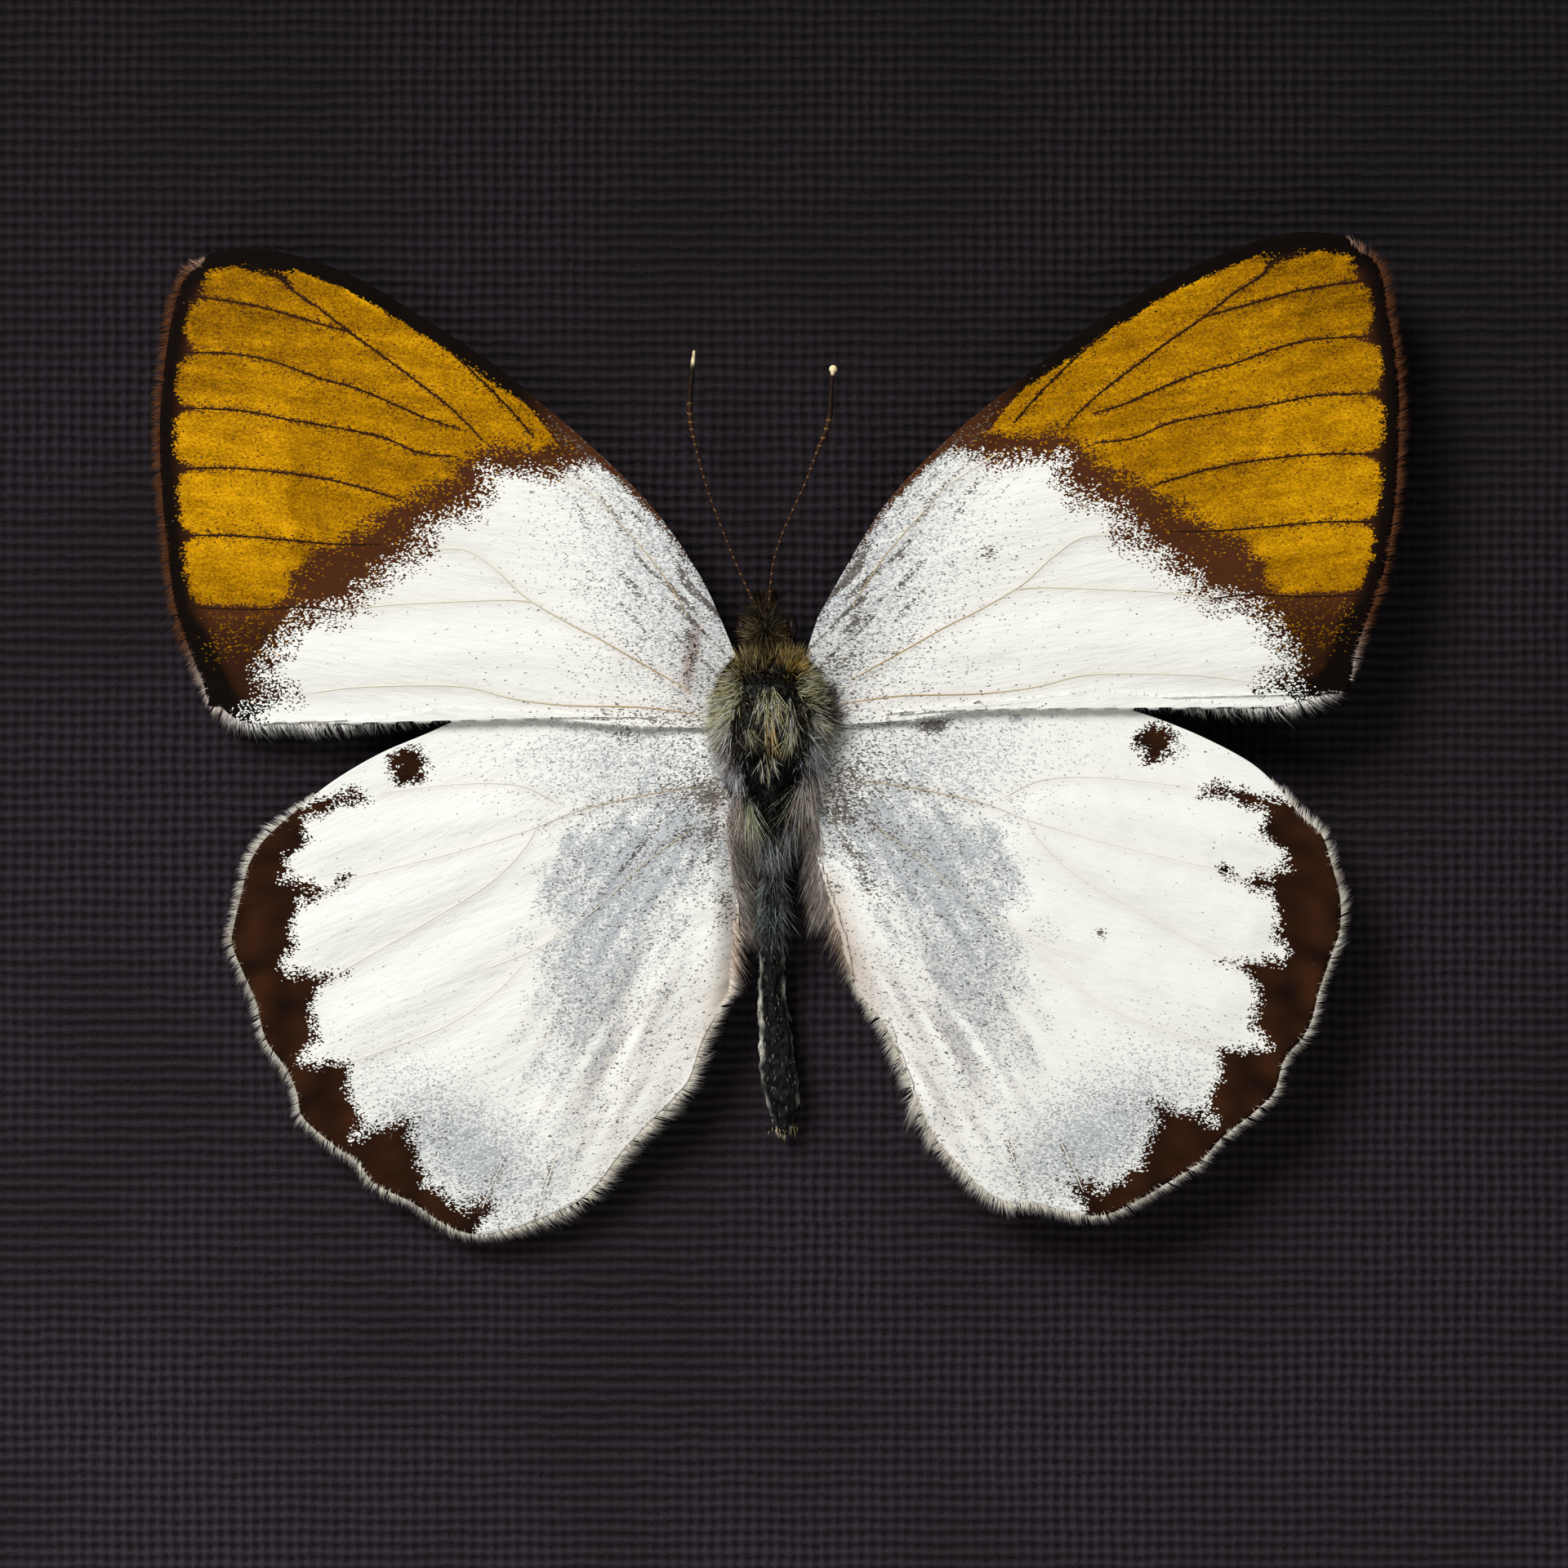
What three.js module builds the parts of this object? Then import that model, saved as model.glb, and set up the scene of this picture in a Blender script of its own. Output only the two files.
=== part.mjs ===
// A set butterfly specimen that rests on a square mounting card.
// Millimetres, +Z up, +Y towards the insect's head. The origin is the centre of the card's underside.
import * as THREE from "three";
import { mergeVertices } from "three/addons/utils/BufferGeometryUtils.js";

const { lerp, smoothstep, degToRad } = THREE.MathUtils;

const CARD_SIDE = 80;
const CARD_THICKNESS = 2;
const CLEARANCE = 0.08; // left between neighbouring pieces
const BODY_X = -0.6; // the insect's long axis lies a little left of the card's centre

// Every height below is measured from the card's upper face.
const WING_THICKNESS = 0.16;
const WING_ROOT_HEIGHT = 2.9;
const HINDWING_DROP = 0.42; // a hindwing passes this far under its forewing
const LIFT_REACH = 7; // distance over which a wing settles to its own level
const SIDES = {
  left: { sign: -1, lift: -1.4 }, // this side dried nearer the card
  right: { sign: 1, lift: 1.15 },
};

const COLOURS = {
  card: "#262127",
  white: "#eeeee6",
  orange: "#bf8306",
  fur: "#45432f",
  chitin: "#1f1c1c",
  eye: "#3a1812",
  horn: "#4a3524",
};

// Wing outlines, each from the front of its root round the tip to the back of its root.
const FOREWING = {
  left: {
    root: { front: 5.7, back: 2.5 },
    costa: [[-2.8, 7.3], [-4, 9.7], [-6.6, 13.2], [-9.5, 15.8], [-12.1, 18.1], [-16.1, 20.8], [-18.5, 22.3],
      [-20.5, 23.2], [-22.2, 23.7], [-23.7, 23.9], [-25.3, 23.8]],
    outer: [[-26.9, 23.1], [-27.7, 21.2], [-28.1, 18.5], [-28.3, 16], [-28.2, 13.1], [-28, 11.1], [-27.8, 9.1],
      [-27.4, 7.1], [-26.6, 5], [-25.9, 3.6], [-24.8, 2.3]],
    inner: [[-22.7, 2.2], [-20.4, 2.1], [-18.5, 2.3], [-16.7, 2.5], [-14.1, 2.9], [-11.6, 2.8], [-8.7, 2.5],
      [-5.8, 2.3]],
  },
  right: {
    root: { front: 5.7, back: 2.6 },
    costa: [[1.5, 7.4], [2.8, 9.7], [5.4, 13.6], [8.5, 16.3], [12, 19.2], [14.9, 21.2], [16.7, 22.3], [19.3, 23.5],
      [20.7, 24], [22.1, 24.4], [23.8, 24.5]],
    outer: [[26.2, 23.8], [27, 22.5], [27.3, 20.5], [27.7, 18.2], [27.7, 15.6], [27.6, 13.1], [27.2, 10.2],
      [26.7, 8.3], [25.9, 6.2], [25.4, 4.7], [24.6, 3.7]],
    inner: [[22.4, 2.9], [20.4, 2.9], [18.7, 3], [16.9, 3.2], [14.3, 3.5], [11.8, 3.5], [9.1, 3.2], [5.5, 2.6]],
  },
};

const HINDWING = {
  left: {
    root: { front: 3.2, back: -1.45 },
    costa: [[-8, 4.3], [-11.3, 3.9], [-14.1, 3.1], [-16.3, 2.1], [-18.4, 1.2], [-20.4, 0], [-22.7, -1.5]],
    outer: [[-23.8, -2.6], [-24.5, -4.1], [-24.7, -5.5], [-25.1, -6.6], [-24.8, -8], [-24.1, -9.3], [-23.7, -11.2],
      [-22.7, -12.7], [-22.2, -13.7], [-21.9, -15], [-20.4, -16.4], [-19.3, -17.2], [-18.4, -18.3], [-16.5, -19.2],
      [-15.2, -20.1], [-13.9, -20.5]],
    inner: [[-12.4, -20.4], [-10.4, -19.8], [-8.3, -18.8], [-7.5, -17.6], [-5.9, -15.9], [-4.7, -14.6],
      [-3.9, -13.8], [-3.3, -12.2], [-2.6, -10.3], [-1.9, -9.2], [-1.3, -7.5], [-1.25, -6]],
  },
  right: {
    root: { front: 3.2, back: -1.45 },
    costa: [[6.9, 4.4], [10.5, 4.4], [14.3, 3.6], [16.9, 2.8], [19.6, 1.6], [21.7, 0.3], [22.9, -0.9]],
    outer: [[24.1, -1.9], [24.7, -3.5], [25.1, -5.2], [25, -6.9], [24.4, -8.4], [23.9, -10.1], [23.6, -11.2],
      [22.7, -12.1], [22.2, -13.7], [21.1, -14.9], [19.6, -16.1], [18.4, -17.4], [16.9, -18.2], [15.1, -19.3],
      [13.5, -19.6], [11.7, -19.2]],
    inner: [[9.9, -19.2], [8.5, -18.5], [7.3, -17.3], [6.2, -16], [5.4, -14.4], [4.7, -12.4], [3.6, -10.4],
      [2.6, -8.5], [1.8, -6.7], [1.3, -5.3]],
  },
};

// Cross-sections of the body from front to back: y along it, x of its middle, half width, and the heights of
// its underside and back.
const THORAX = [
  { y: 6.1, x: BODY_X, half: 1.9, low: 1.0, high: 4.2 },
  { y: 4.6, x: BODY_X, half: 2.4, low: 0.5, high: 5.0 },
  { y: 3.2, x: BODY_X, half: 2.6, low: 0.35, high: 5.3 },
  { y: 2.0, x: BODY_X, half: 2.55, low: 0.3, high: 5.3 },
  { y: 0.4, x: BODY_X, half: 2.1, low: 0.3, high: 5.0 },
  { y: -1.45, x: BODY_X, half: 1.35, low: 0.4, high: 4.3 },
  { y: -3.7, x: BODY_X, half: 1.0, low: 0.7, high: 3.3 },
];

const HEAD = [
  { y: 7.9, x: -0.78, half: 0.6, low: 1.8, high: 3.6 },
  { y: 7.0, x: -0.78, half: 0.62, low: 1.6, high: 4.0 },
  { y: 6.18, x: -0.7, half: 0.75, low: 1.7, high: 3.9 },
];

const ABDOMEN = [
  { y: -3.8, x: -0.55, half: 0.75, low: 1.0, high: 2.9 },
  { y: -5.6, x: -0.55, half: 0.66, low: 0.7, high: 2.5 },
  { y: -7.4, x: -0.55, half: 0.56, low: 0.55, high: 2.2 },
  { y: -9.2, x: -0.55, half: 0.62, low: 0.4, high: 2.1 },
  { y: -10.8, x: -0.4, half: 0.74, low: 0.35, high: 2.0 },
  { y: -12.6, x: -0.2, half: 0.86, low: 0.3, high: 1.9 },
  { y: -14.2, x: -0.05, half: 0.84, low: 0.3, high: 1.7 },
  { y: -15.8, x: 0, half: 0.45, low: 0.35, high: 1.2 },
];

const EYE = { outX: 1.12, y: 6.95, height: 2.9, radii: [0.44, 0.66, 0.7] };

const PALP = {
  spacing: 0.26,
  route: [[-0.05, 7.95, 1.75], [0.05, 8.15, 2.1], [0.1, 8.25, 2.6], [0.05, 8.4, 3.1]],
  radii: [0.16, 0.2, 0.17, 0.06],
};

const PROBOSCIS = { y: 7.5, height: 1.02, turns: 2.25, innerRadius: 0.16, outerRadius: 0.5, tube: 0.07 };

// Each antenna from its tip to the head, with its height above the card at the tip and at the head.
const ANTENNA = {
  left: [[-4, 19.3], [-4.15, 17.8], [-4.2, 16.4], [-3.9, 14.9], [-3.4, 13.1], [-2.7, 11.2], [-2, 9.5], [-1.5, 8.4],
    [-1.1, 7.6]],
  right: [[2.2, 18.6], [2.1, 17.6], [2.05, 16.5], [1.9, 15.8], [1.4, 14.6], [1, 13.5], [0.4, 12.2], [-0.2, 10.8],
    [-0.5, 9.7], [-0.62, 8.6], [-0.68, 7.6]],
};
const ANTENNA_HEIGHT = { tip: 3.0, head: 3.72 };
const ANTENNA_RADII = [0.08, 0.16, 0.15, 0.07, 0.06, 0.06, 0.06, 0.06, 0.07];

// Each folded leg: from the thorax out to the knee, back along the card and out to the foot.
// x is the distance from the insect's long axis.
const LEGS = {
  fore: [[0.95, 4.9, 0.62], [2.1, 5.3, 0.75], [3.1, 5.8, 0.62], [3.6, 6.3, 0.4], [4.2, 5.6, 0.22], [5.0, 5.2, 0.16]],
  mid: [[1.4, 2.4, 0.38], [2.6, 2.2, 0.7], [3.9, 2.3, 0.66], [4.4, 1.2, 0.42], [4.3, -0.4, 0.24], [4.5, -1.8, 0.16]],
  hind: [[1.15, 0.2, 0.42], [2.2, -0.7, 0.68], [3.2, -1.5, 0.62], [3.0, -2.9, 0.4], [2.6, -4.5, 0.22],
    [2.7, -6.1, 0.16]],
};
const LEG_RADII = [0.2, 0.24, 0.18, 0.13, 0.09, 0.06];

const BODY_ROUNDNESS = 4; // exponent of the superellipse that closes a body section's ends

// The value of one field of the body's sections at y, along a smooth curve through them.
function sectionValue(sections, y, field) {
  const last = sections.length - 1;
  let i = 0;
  while (i < last - 1 && sections[i + 1].y > y) i += 1;
  const t = (sections[i].y - y) / (sections[i].y - sections[i + 1].y);
  const at = (k) => sections[Math.min(Math.max(k, 0), last)][field];
  const slopeIn = (at(i + 1) - at(i - 1)) / 2;
  const slopeOut = (at(i + 2) - at(i)) / 2;
  const blend = t * t * (3 - 2 * t);
  const ease = t * (1 - t);
  return lerp(at(i), at(i + 1), blend) + ease * ((1 - t) * slopeIn - t * slopeOut);
}

// How much of its full width and height a body keeps at y, falling to nothing at its two ends.
function endTaper(sections, y) {
  const front = sections[0].y;
  const back = sections[sections.length - 1].y;
  const along = (2 * y - front - back) / (front - back);
  return (1 - Math.min(Math.abs(along), 1) ** BODY_ROUNDNESS) ** (1 / BODY_ROUNDNESS);
}

function closedGeometry(geometry) {
  geometry.deleteAttribute("normal");
  geometry.deleteAttribute("uv");
  return mergeVertices(geometry, 1e-4);
}

// Moves every vertex of a geometry to where place(point) puts it.
function remapped(geometry, place) {
  const position = geometry.attributes.position;
  const point = new THREE.Vector3();
  for (let i = 0; i < position.count; i += 1) {
    place(point.fromBufferAttribute(position, i));
    position.setXYZ(i, point.x, point.y, point.z);
  }
  return geometry;
}

function mesh(name, geometry, colour, roughness) {
  const made = new THREE.Mesh(geometry, new THREE.MeshStandardMaterial({ color: colour, roughness }));
  geometry.computeVertexNormals();
  made.name = name;
  return made;
}

// A rounded body that follows its sections, from a sphere whose poles lie at its front and back.
function bodyGeometry(sections, around, along) {
  const front = sections[0].y;
  const back = sections[sections.length - 1].y;
  return remapped(closedGeometry(new THREE.SphereGeometry(1, around, along)), (point) => {
    const ring = Math.hypot(point.x, point.z) || 1;
    const y = lerp(back, front, (point.y + 1) / 2);
    const taper = endTaper(sections, y);
    const low = sectionValue(sections, y, "low");
    const high = sectionValue(sections, y, "high");
    const across = sectionValue(sections, y, "half") * taper * (point.x / ring);
    const up = ((high - low) / 2) * taper * (point.z / ring);
    point.set(sectionValue(sections, y, "x") + across, y, (low + high) / 2 + up);
  });
}

// A tapering round tube with flat ends: radii are spread evenly along its route.
function tubeGeometry(route, radii, around, along) {
  const curve = new THREE.CatmullRomCurve3(route.map((p) => new THREE.Vector3(...p)));
  const frames = curve.computeFrenetFrames(along);
  return remapped(closedGeometry(new THREE.CylinderGeometry(1, 1, 1, around, along)), (point) => {
    const t = 0.5 - point.y;
    const step = Math.round(t * along);
    const at = t * (radii.length - 1);
    const low = Math.min(Math.floor(at), radii.length - 2);
    const radius = lerp(radii[low], radii[low + 1], at - low);
    const centre = curve.getPointAt(step / along);
    const { x, z } = point;
    point.copy(centre);
    point.addScaledVector(frames.normals[step], radius * x);
    point.addScaledVector(frames.binormals[step], radius * z);
  });
}

function outlineCurve(wing) {
  const points = [...wing.costa, ...wing.outer, ...wing.inner];
  return new THREE.CatmullRomCurve3(points.map(([x, y]) => new THREE.Vector3(x, y, 0)), false, "centripetal");
}

// The point of the wing's root beside the thorax, from its front (0) to its back (1).
function rootPoint(wing, sign, share) {
  const y = lerp(wing.root.front, wing.root.back, share);
  const reach = sectionValue(THORAX, y, "half") * endTaper(THORAX, y) + CLEARANCE;
  return new THREE.Vector3(BODY_X + sign * reach, y, 0);
}

// The height of a side's wings at (x, y): they leave the thorax together and settle to the side's own level.
function spreadHeight(side, x) {
  const out = Math.max(Math.abs(x - BODY_X) - 2.5, 0);
  return WING_ROOT_HEIGHT + side.lift * (1 - Math.exp(-out / LIFT_REACH));
}

function forewingHeight(side, x, y) {
  const camber = 0.18 * Math.sin(degToRad(180) * smoothstep(y, 2, 24));
  const tip = 0.35 * smoothstep(Math.abs(x), 20, 28);
  return spreadHeight(side, x) + camber - tip;
}

function hindwingHeight(side, x, y) {
  const out = Math.abs(x - BODY_X);
  const behind = smoothstep(-y, -3, 2);
  const innerRoll = 1.05 * (1 - smoothstep(out, 0.6, 2.6)) * smoothstep(-y, 0.5, 4);
  const droop = 0.3 * smoothstep(-y, 12, 20);
  return spreadHeight(side, x) - HINDWING_DROP * (1 - 0.4 * behind) - innerRoll - droop;
}

// A thin plate that fans out from the root edge to the outline.
function wingGeometry(wing, side, heightAt, acrossSteps, aroundSteps) {
  const outline = outlineCurve(wing);
  const plate = closedGeometry(new THREE.BoxGeometry(1, 1, 1, acrossSteps, aroundSteps, 1));
  return remapped(plate, (point) => {
    const out = side.sign < 0 ? 0.5 - point.x : 0.5 + point.x;
    const round = 0.5 - point.y;
    const face = point.z;
    const spot = rootPoint(wing, side.sign, round).lerp(outline.getPoint(round), out);
    point.set(spot.x, spot.y, heightAt(side, spot.x, spot.y) + face * WING_THICKNESS);
  });
}

function card() {
  const made = mesh("mounting_card", new THREE.BoxGeometry(CARD_SIDE, CARD_SIDE, CARD_THICKNESS), COLOURS.card, 0.8);
  made.position.z = CARD_THICKNESS / 2;
  return made;
}

function wings(name, side) {
  const fore = wingGeometry(FOREWING[name], side, forewingHeight, 8, 34);
  const hind = wingGeometry(HINDWING[name], side, hindwingHeight, 8, 36);
  return [
    mesh(`${name}_forewing`, fore, COLOURS.orange, 0.7),
    mesh(`${name}_hindwing`, hind, COLOURS.white, 0.7),
  ];
}

function trunk() {
  return [
    mesh("thorax", bodyGeometry(THORAX, 20, 16), COLOURS.fur, 0.9),
    mesh("head", bodyGeometry(HEAD, 16, 10), COLOURS.fur, 0.9),
    mesh("abdomen", bodyGeometry(ABDOMEN, 14, 24), COLOURS.chitin, 0.6),
  ];
}

function eye(name, side) {
  const made = mesh(`${name}_eye`, closedGeometry(new THREE.SphereGeometry(1, 12, 8)), COLOURS.eye, 0.3);
  made.scale.set(...EYE.radii);
  made.position.set(HEAD[1].x + side.sign * EYE.outX, EYE.y, EYE.height);
  return made;
}

function palp(name, side) {
  const route = PALP.route.map(([x, y, z]) => [HEAD[0].x + side.sign * (PALP.spacing + x), y, z]);
  return mesh(`${name}_palp`, tubeGeometry(route, PALP.radii, 7, 8), COLOURS.horn, 0.8);
}

function antenna(name) {
  const route = ANTENNA[name].map(([x, y], i, all) => {
    const share = i / (all.length - 1);
    return [x, y, lerp(ANTENNA_HEIGHT.tip, ANTENNA_HEIGHT.head, share)];
  });
  return mesh(`${name}_antenna`, tubeGeometry(route, ANTENNA_RADII, 6, 26), COLOURS.horn, 0.6);
}

function leg(name, side, pair) {
  const route = LEGS[pair].map(([out, y, z]) => [BODY_X + side.sign * out, y, z]);
  return mesh(`${name}_${pair}_leg`, tubeGeometry(route, LEG_RADII, 6, 12), COLOURS.horn, 0.7);
}

// The sucking tube, coiled flat between the palps like a watch spring.
function proboscis() {
  const { y, height, turns, innerRadius, outerRadius, tube } = PROBOSCIS;
  const steps = Math.round(turns * 10);
  const route = [];
  for (let i = 0; i <= steps; i += 1) {
    const angle = degToRad(90) - (i / steps) * turns * degToRad(360);
    const radius = lerp(outerRadius, innerRadius, i / steps);
    route.push([HEAD[0].x, y + radius * Math.cos(angle), height + radius * Math.sin(angle)]);
  }
  return mesh("proboscis", tubeGeometry(route, [tube, tube], 5, steps), COLOURS.horn, 0.5);
}

const specimen = new THREE.Group();
specimen.name = "specimen";
specimen.position.z = CARD_THICKNESS;
specimen.add(...trunk(), proboscis());
for (const [name, side] of Object.entries(SIDES)) {
  specimen.add(...wings(name, side), eye(name, side), palp(name, side), antenna(name));
  for (const pair of Object.keys(LEGS)) specimen.add(leg(name, side, pair));
}

const assembly = new THREE.Group();
assembly.name = "mounted_butterfly";
assembly.add(card(), specimen);

export default assembly;
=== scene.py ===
"""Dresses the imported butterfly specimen: scaled, veined and fringed wings, a furred body and an embossed card."""

import math

import bmesh
import bpy
import numpy as np
from mathutils import Euler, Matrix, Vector
from mathutils.kdtree import KDTree


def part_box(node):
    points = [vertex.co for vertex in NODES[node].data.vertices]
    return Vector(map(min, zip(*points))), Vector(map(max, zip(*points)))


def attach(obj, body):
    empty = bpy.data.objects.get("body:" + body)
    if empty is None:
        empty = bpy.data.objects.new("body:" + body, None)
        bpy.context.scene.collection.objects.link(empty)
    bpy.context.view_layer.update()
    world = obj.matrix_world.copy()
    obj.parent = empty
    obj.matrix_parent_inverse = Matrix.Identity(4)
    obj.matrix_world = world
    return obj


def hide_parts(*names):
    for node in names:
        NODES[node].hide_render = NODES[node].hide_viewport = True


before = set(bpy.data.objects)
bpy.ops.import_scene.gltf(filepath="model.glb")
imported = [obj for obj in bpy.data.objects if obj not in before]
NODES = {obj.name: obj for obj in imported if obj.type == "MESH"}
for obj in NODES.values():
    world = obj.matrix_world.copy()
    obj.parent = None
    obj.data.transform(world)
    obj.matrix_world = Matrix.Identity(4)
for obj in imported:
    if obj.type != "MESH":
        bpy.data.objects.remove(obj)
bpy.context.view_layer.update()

bl_info = {
    "name": "Set butterfly specimen",
    "version": (1, 0, 0),
    "blender": (4, 5, 0),
    "location": "View3D > Sidebar > Specimen",
    "description": "Dresses a packed butterfly specimen with scales, veins, hair and its embossed card",
    "category": "Object",
}

# ---------------------------------------------------------------- sizes, in millimetres unless named otherwise

MM = 0.001
CARD_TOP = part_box("mounting_card")[1].z / MM
SIDES = ("left", "right")

WING_CELLS = (104, 360)  # faces from root to margin, and round the margin
WING_SKIN = 0.1
VEIN_RADIUS = {True: 0.036, False: 0.03}  # of the dark veins, and of the pale ones
VEIN_SIDES = 6
VEIN_POINTS = 46
FRINGE_SPACING = 0.0125
FRINGE_DEPTH = 0.18  # how far inside the membrane's edge a fringe hair starts
EDGE_HAIRS = 1250  # on a hindwing's straight edge by the body
WING_SCALE_WIDTH = 0.05  # as wide and long as a real scale, so that single ones just show
WING_SCALE_LENGTH = 0.078
MARGIN_BAND = 0.7  # black line inside the fringe
THREAD_PITCH = {"X": 0.513, "Y": 0.533}  # of the card's linen emboss
CARD_EDGE = 0.18  # how far the card's cut edge is softened
COAT_HAIRS = 11500
TIP_HAIRS = 90  # in the brush at the abdomen's end
HEAD_FRONT_HAIRS = 110
WAVE_REPEAT = 0.314159  # length of one wave of a wave texture at a scale of 1

# Patterns are laid out once, on the left wings. The right ones take them mirrored and fitted to their own box.
ORANGE_PATCH = [
    (-24, 23.2), (-25.7, 22.9), (-26, 22.1), (-26.7, 21.5), (-26.9, 20.5), (-26.5, 19.6), (-27, 18.9), (-27.2, 18),
    (-26.9, 16.8), (-27.3, 16), (-27.3, 15), (-26.9, 14.1), (-27.1, 13.2), (-27.1, 12.2), (-26.7, 11.1),
    (-26.9, 10.2), (-26.8, 9), (-26.2, 8.1), (-24, 8), (-22.9, 7.9), (-22.2, 8.3), (-22, 9), (-21.7, 9.8),
    (-21, 10.5), (-19.9, 10.7), (-18.9, 11.3), (-17.8, 12.1), (-16.8, 12.8), (-15.6, 13.2), (-14.7, 13.6),
    (-15, 14.3), (-13.9, 14.7), (-12.9, 15.1), (-11.6, 15.1), (-10.1, 15.1), (-10.8, 16.1), (-11.6, 17),
    (-12.7, 17.7), (-14, 18.6), (-15.3, 19.6), (-16.5, 20.2), (-17.8, 21.4), (-19.3, 22.1), (-20.5, 22.9),
    (-22.2, 23.2),
]
WHITE_FIELD = [
    (-8.4, 14.5), (-9.5, 14.1), (-10.5, 13.8), (-11.5, 14.1), (-13.1, 14), (-13.1, 13.1), (-13.8, 12.5),
    (-15, 11.9), (-16, 11.2), (-15.9, 10.5), (-17.1, 10.3), (-17.7, 9.5), (-18.4, 8.8), (-19.6, 7.9), (-21.1, 7.6),
    (-22.1, 6.7), (-22.6, 6.2), (-23.3, 5.5), (-23.2, 4.7), (-22.4, 4), (-23.3, 3.6), (-24, 2.9), (-24.3, 0.8),
    (-21, -3), (-1, -3), (-1, 9.5), (-2.2, 11.6), (-5.2, 14.1),
]
HINDWING_BORDER = [
    (-18.9, -0.6), (-19.6, -0.9), (-21.4, -1.5), (-21.4, -2.5), (-22.1, -3.3), (-22.4, -4.2), (-20.7, -4.7),
    (-19.5, -4.2), (-20.4, -4.9), (-21.4, -5.2), (-22, -6.1), (-22, -7.2), (-22.5, -8.1), (-22.2, -8.4),
    (-20.4, -8.5), (-19.6, -8.4), (-20.7, -8.9), (-21.2, -9.9), (-20.9, -11.2), (-21.7, -12.4), (-21.3, -12.6),
    (-19.3, -12.4), (-19.6, -13), (-19.5, -14), (-18.9, -15.1), (-19.3, -15.8), (-17.8, -15.3), (-16.4, -15),
    (-16.7, -15.7), (-16.5, -16.7), (-16, -17.9), (-14.5, -18.8), (-13.1, -18.8), (-13.4, -19.4), (-13.9, -20.6),
    (-20, -21), (-27, -16), (-28, -6), (-26, -3), (-23.4, -1.4), (-21.6, -0.9), (-20.6, -0.5), (-19.4, -0.35),
]

# Each vein from the outer end inwards.
FOREWING_TIP_VEINS = [
    [(-24, 23.2), (-22.6, 22.7), (-21.9, 22), (-20.7, 21.2), (-19.3, 20.1), (-17.5, 18.8), (-14.9, 16.8),
     (-13.4, 15.3)],
    [(-26.4, 21.8), (-23.8, 21.4), (-21.6, 20.8), (-19.5, 20.2)],
    [(-26.8, 19.3), (-24.4, 19.2), (-22.6, 18.8), (-20.7, 18.1), (-19.2, 17.7), (-17.5, 17), (-15.9, 16.3),
     (-14.6, 15.9)],
    [(-27.2, 16.8), (-24.4, 16.7), (-22.3, 16.3), (-20.5, 16), (-18, 15.5), (-16.3, 14.8), (-14.6, 14.6)],
    [(-27.3, 14.1), (-24.4, 14.1), (-21.6, 13.8), (-19.9, 13.5), (-18.1, 13), (-17.2, 12.7)],
    [(-27.1, 11.1), (-24.7, 11.1), (-22.3, 10.9), (-19.9, 10.7), (-17.9, 10.7)],
    [(-26.6, 7.9), (-23.5, 7.8), (-21.6, 7.9), (-19.7, 7.7)],
    [(-15.2, 19.6), (-14, 18.5), (-12.3, 16.8), (-11.2, 15.5)],
]
FOREWING_OUTER_VEINS = FOREWING_TIP_VEINS[:-1]  # those that reach the wing's outer edge
FOREWING_WHITE_VEINS = [
    [(-15.5, 10.5), (-14.1, 10.4), (-12.8, 9.5), (-11.5, 8.3), (-9.5, 7.1), (-8.3, 6.5), (-6.4, 5.4), (-4.1, 4.1)],
    [(-21.5, 4), (-19.3, 4.3), (-16.3, 4.4), (-14.1, 4.3), (-12.1, 3.8), (-9.7, 3.5), (-6.2, 3.4), (-3.4, 3)],
    [(-19.7, 7.7), (-17.5, 8), (-12.7, 8.2), (-11.2, 8.1)],
    [(-10.6, 14.2), (-9.8, 13.7), (-8.3, 12.7), (-7.3, 11.6), (-5.6, 9.6), (-4.2, 7.4)],
]
HINDWING_VEINS = [
    [(-21.1, -5.1), (-19.5, -4.3), (-18.1, -3.9), (-14.5, -3), (-11.2, -2), (-9.2, -1.2), (-6.2, -0.5),
     (-3.6, -0.1)],
    [(-18, -0.4), (-14.5, 0), (-11.8, -0.1), (-10.1, -0.9)],
    [(-13.4, -8.3), (-10.8, -7.2), (-8.3, -5.5), (-6.4, -3.7), (-4.1, -2)],
    [(-20.4, -8.8), (-19.3, -8.1), (-16, -6.2), (-13.1, -4.4), (-11.6, -2.9), (-11, -1.9)],
    [(-19.3, -12.4), (-18.2, -12), (-15.3, -10.9), (-13.1, -9.5), (-11.6, -8)],
    [(-13.5, -19), (-13.1, -18), (-12.5, -16.7)],
    [(-11, -19.3), (-10.7, -18.2), (-10.2, -16.7)],
]
HINDWING_DARK_VEINS = HINDWING_VEINS[5:]  # the two short ones at the lower border
GREY_CLOUD = [
    (-3.6, -0.6), (-7.3, -1.5), (-9.8, -2.9), (-10.3, -5.1), (-10.7, -8.7), (-10.7, -12.4), (-9.8, -15.5),
    (-8.4, -12.4), (-7.2, -9.8), (-6.0, -6.9), (-4.4, -4.6), (-2.9, -3.3), (-2.2, -1.5),
]
FOREWING_FOLDS = [
    ([(-24, 5.6), (-19, 5.2), (-13, 6), (-8, 5.4)], 0.9, 0.07),
    ([(-22, 9.5), (-22, 12), (-22.6, 15.5)], 0.35, 0.05),
    ([(-17, 12), (-12, 12), (-8, 9), (-5, 7)], 1.1, 0.05),
    ([(-27, 15.2), (-23, 15.3), (-17, 14)], 0.3, 0.03),
]
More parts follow.
